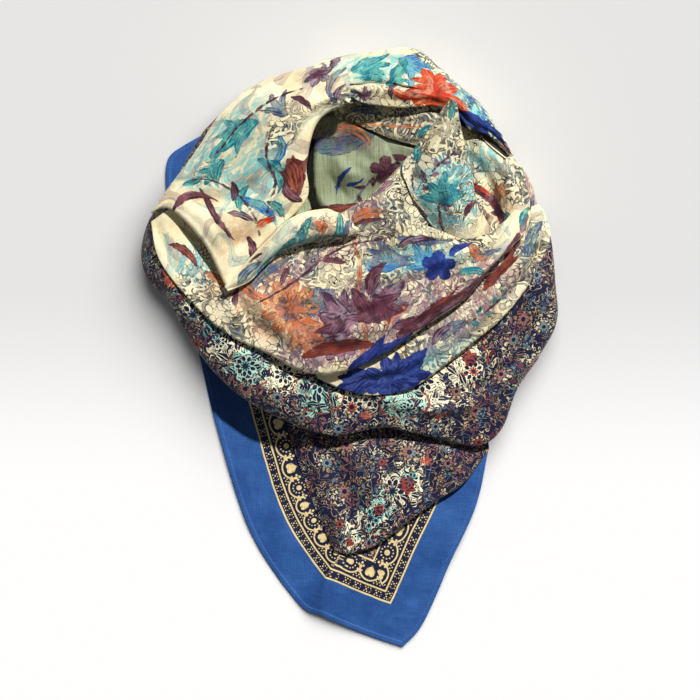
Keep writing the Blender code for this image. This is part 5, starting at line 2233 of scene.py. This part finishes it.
class SCARF_OT_neck(bpy.types.Operator):
    """Lay the inside of the neck hollow and the folds at its sides"""

    bl_idname = "scarf.neck"
    bl_label = "Neck hollow"

    def execute(self, context):
        return lay_each(context, "neck_inside", "right_edge_fold", "collar_lip", "right_fold")


class SCARF_OT_back(bpy.types.Operator):
    """Lay the back of the ring and its collar"""

    bl_idname = "scarf.back"
    bl_label = "Back and collar"

    def execute(self, context):
        return lay_each(context, "back_panel", "collar_roll")


class SCARF_OT_inner_folds(bpy.types.Operator):
    """Lay the folds that turn into the neck hollow"""

    bl_idname = "scarf.inner_folds"
    bl_label = "Inner folds"

    def execute(self, context):
        return lay_each(context, "neck_fold", "peak_fold")


class SCARF_OT_swags(bpy.types.Operator):
    """Lay the broad folds across the front"""

    bl_idname = "scarf.swags"
    bl_label = "Front folds"

    def execute(self, context):
        return lay_each(context, "outer_swag", "inner_swag")


class SCARF_OT_shoulder(bpy.types.Operator):
    """Lay the fold over the left shoulder and the rolled front edge"""

    bl_idname = "scarf.shoulder"
    bl_label = "Shoulder fold"

    def execute(self, context):
        return lay_each(context, "back_wrap", "front_roll")


class SCARF_OT_studio(bpy.types.Operator):
    """Set up the table, the lights and the camera"""

    bl_idname = "scarf.studio"
    bl_label = "Studio"

    def execute(self, context):
        light_studio(context.scene.scarf_studio)
        return {"FINISHED"}


OPERATORS = (
    SCARF_OT_materials,
    SCARF_OT_plies,
    SCARF_OT_corners,
    SCARF_OT_stitches,
    SCARF_OT_band,
    SCARF_OT_neck,
    SCARF_OT_back,
    SCARF_OT_inner_folds,
    SCARF_OT_swags,
    SCARF_OT_shoulder,
    SCARF_OT_studio,
)


class SCARF_PT_panel(bpy.types.Panel):
    """Sizes, colours and steps of the scarf"""

    bl_label = "Silk square scarf"
    bl_idname = "SCARF_PT_panel"
    bl_space_type = "VIEW_3D"
    bl_region_type = "UI"
    bl_category = "Scarf"

    def draw(self, context):
        scene = context.scene
        for settings in (scene.scarf_sizes, scene.scarf_colours, scene.scarf_studio):
            box = self.layout.box()
            for name in settings.bl_rna.properties.keys():
                if name not in ("rna_type", "name"):
                    box.prop(settings, name)
        for operator in OPERATORS:
            self.layout.operator(operator.bl_idname)


SETTINGS = {"scarf_sizes": ScarfSizes, "scarf_colours": ScarfColours, "scarf_studio": ScarfStudio}
CLASSES = (*SETTINGS.values(), *OPERATORS, SCARF_PT_panel)


def register():
    for each in CLASSES:
        bpy.utils.register_class(each)
    for name, settings in SETTINGS.items():
        setattr(bpy.types.Scene, name, bpy.props.PointerProperty(type=settings))


def unregister():
    for name in SETTINGS:
        delattr(bpy.types.Scene, name)
    for each in reversed(CLASSES):
        bpy.utils.unregister_class(each)


def main():
    register()
    for step in OPERATORS:
        group, name = step.bl_idname.split(".")
        getattr(getattr(bpy.ops, group), name)()
    with open("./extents.json", "w") as file:
        sizes = {"cad": CAD_BOX, "scene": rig.bounds()}
        json.dump({key: [list(corner) for corner in box] for key, box in sizes.items()}, file)


if __name__ == "__main__":
    main()
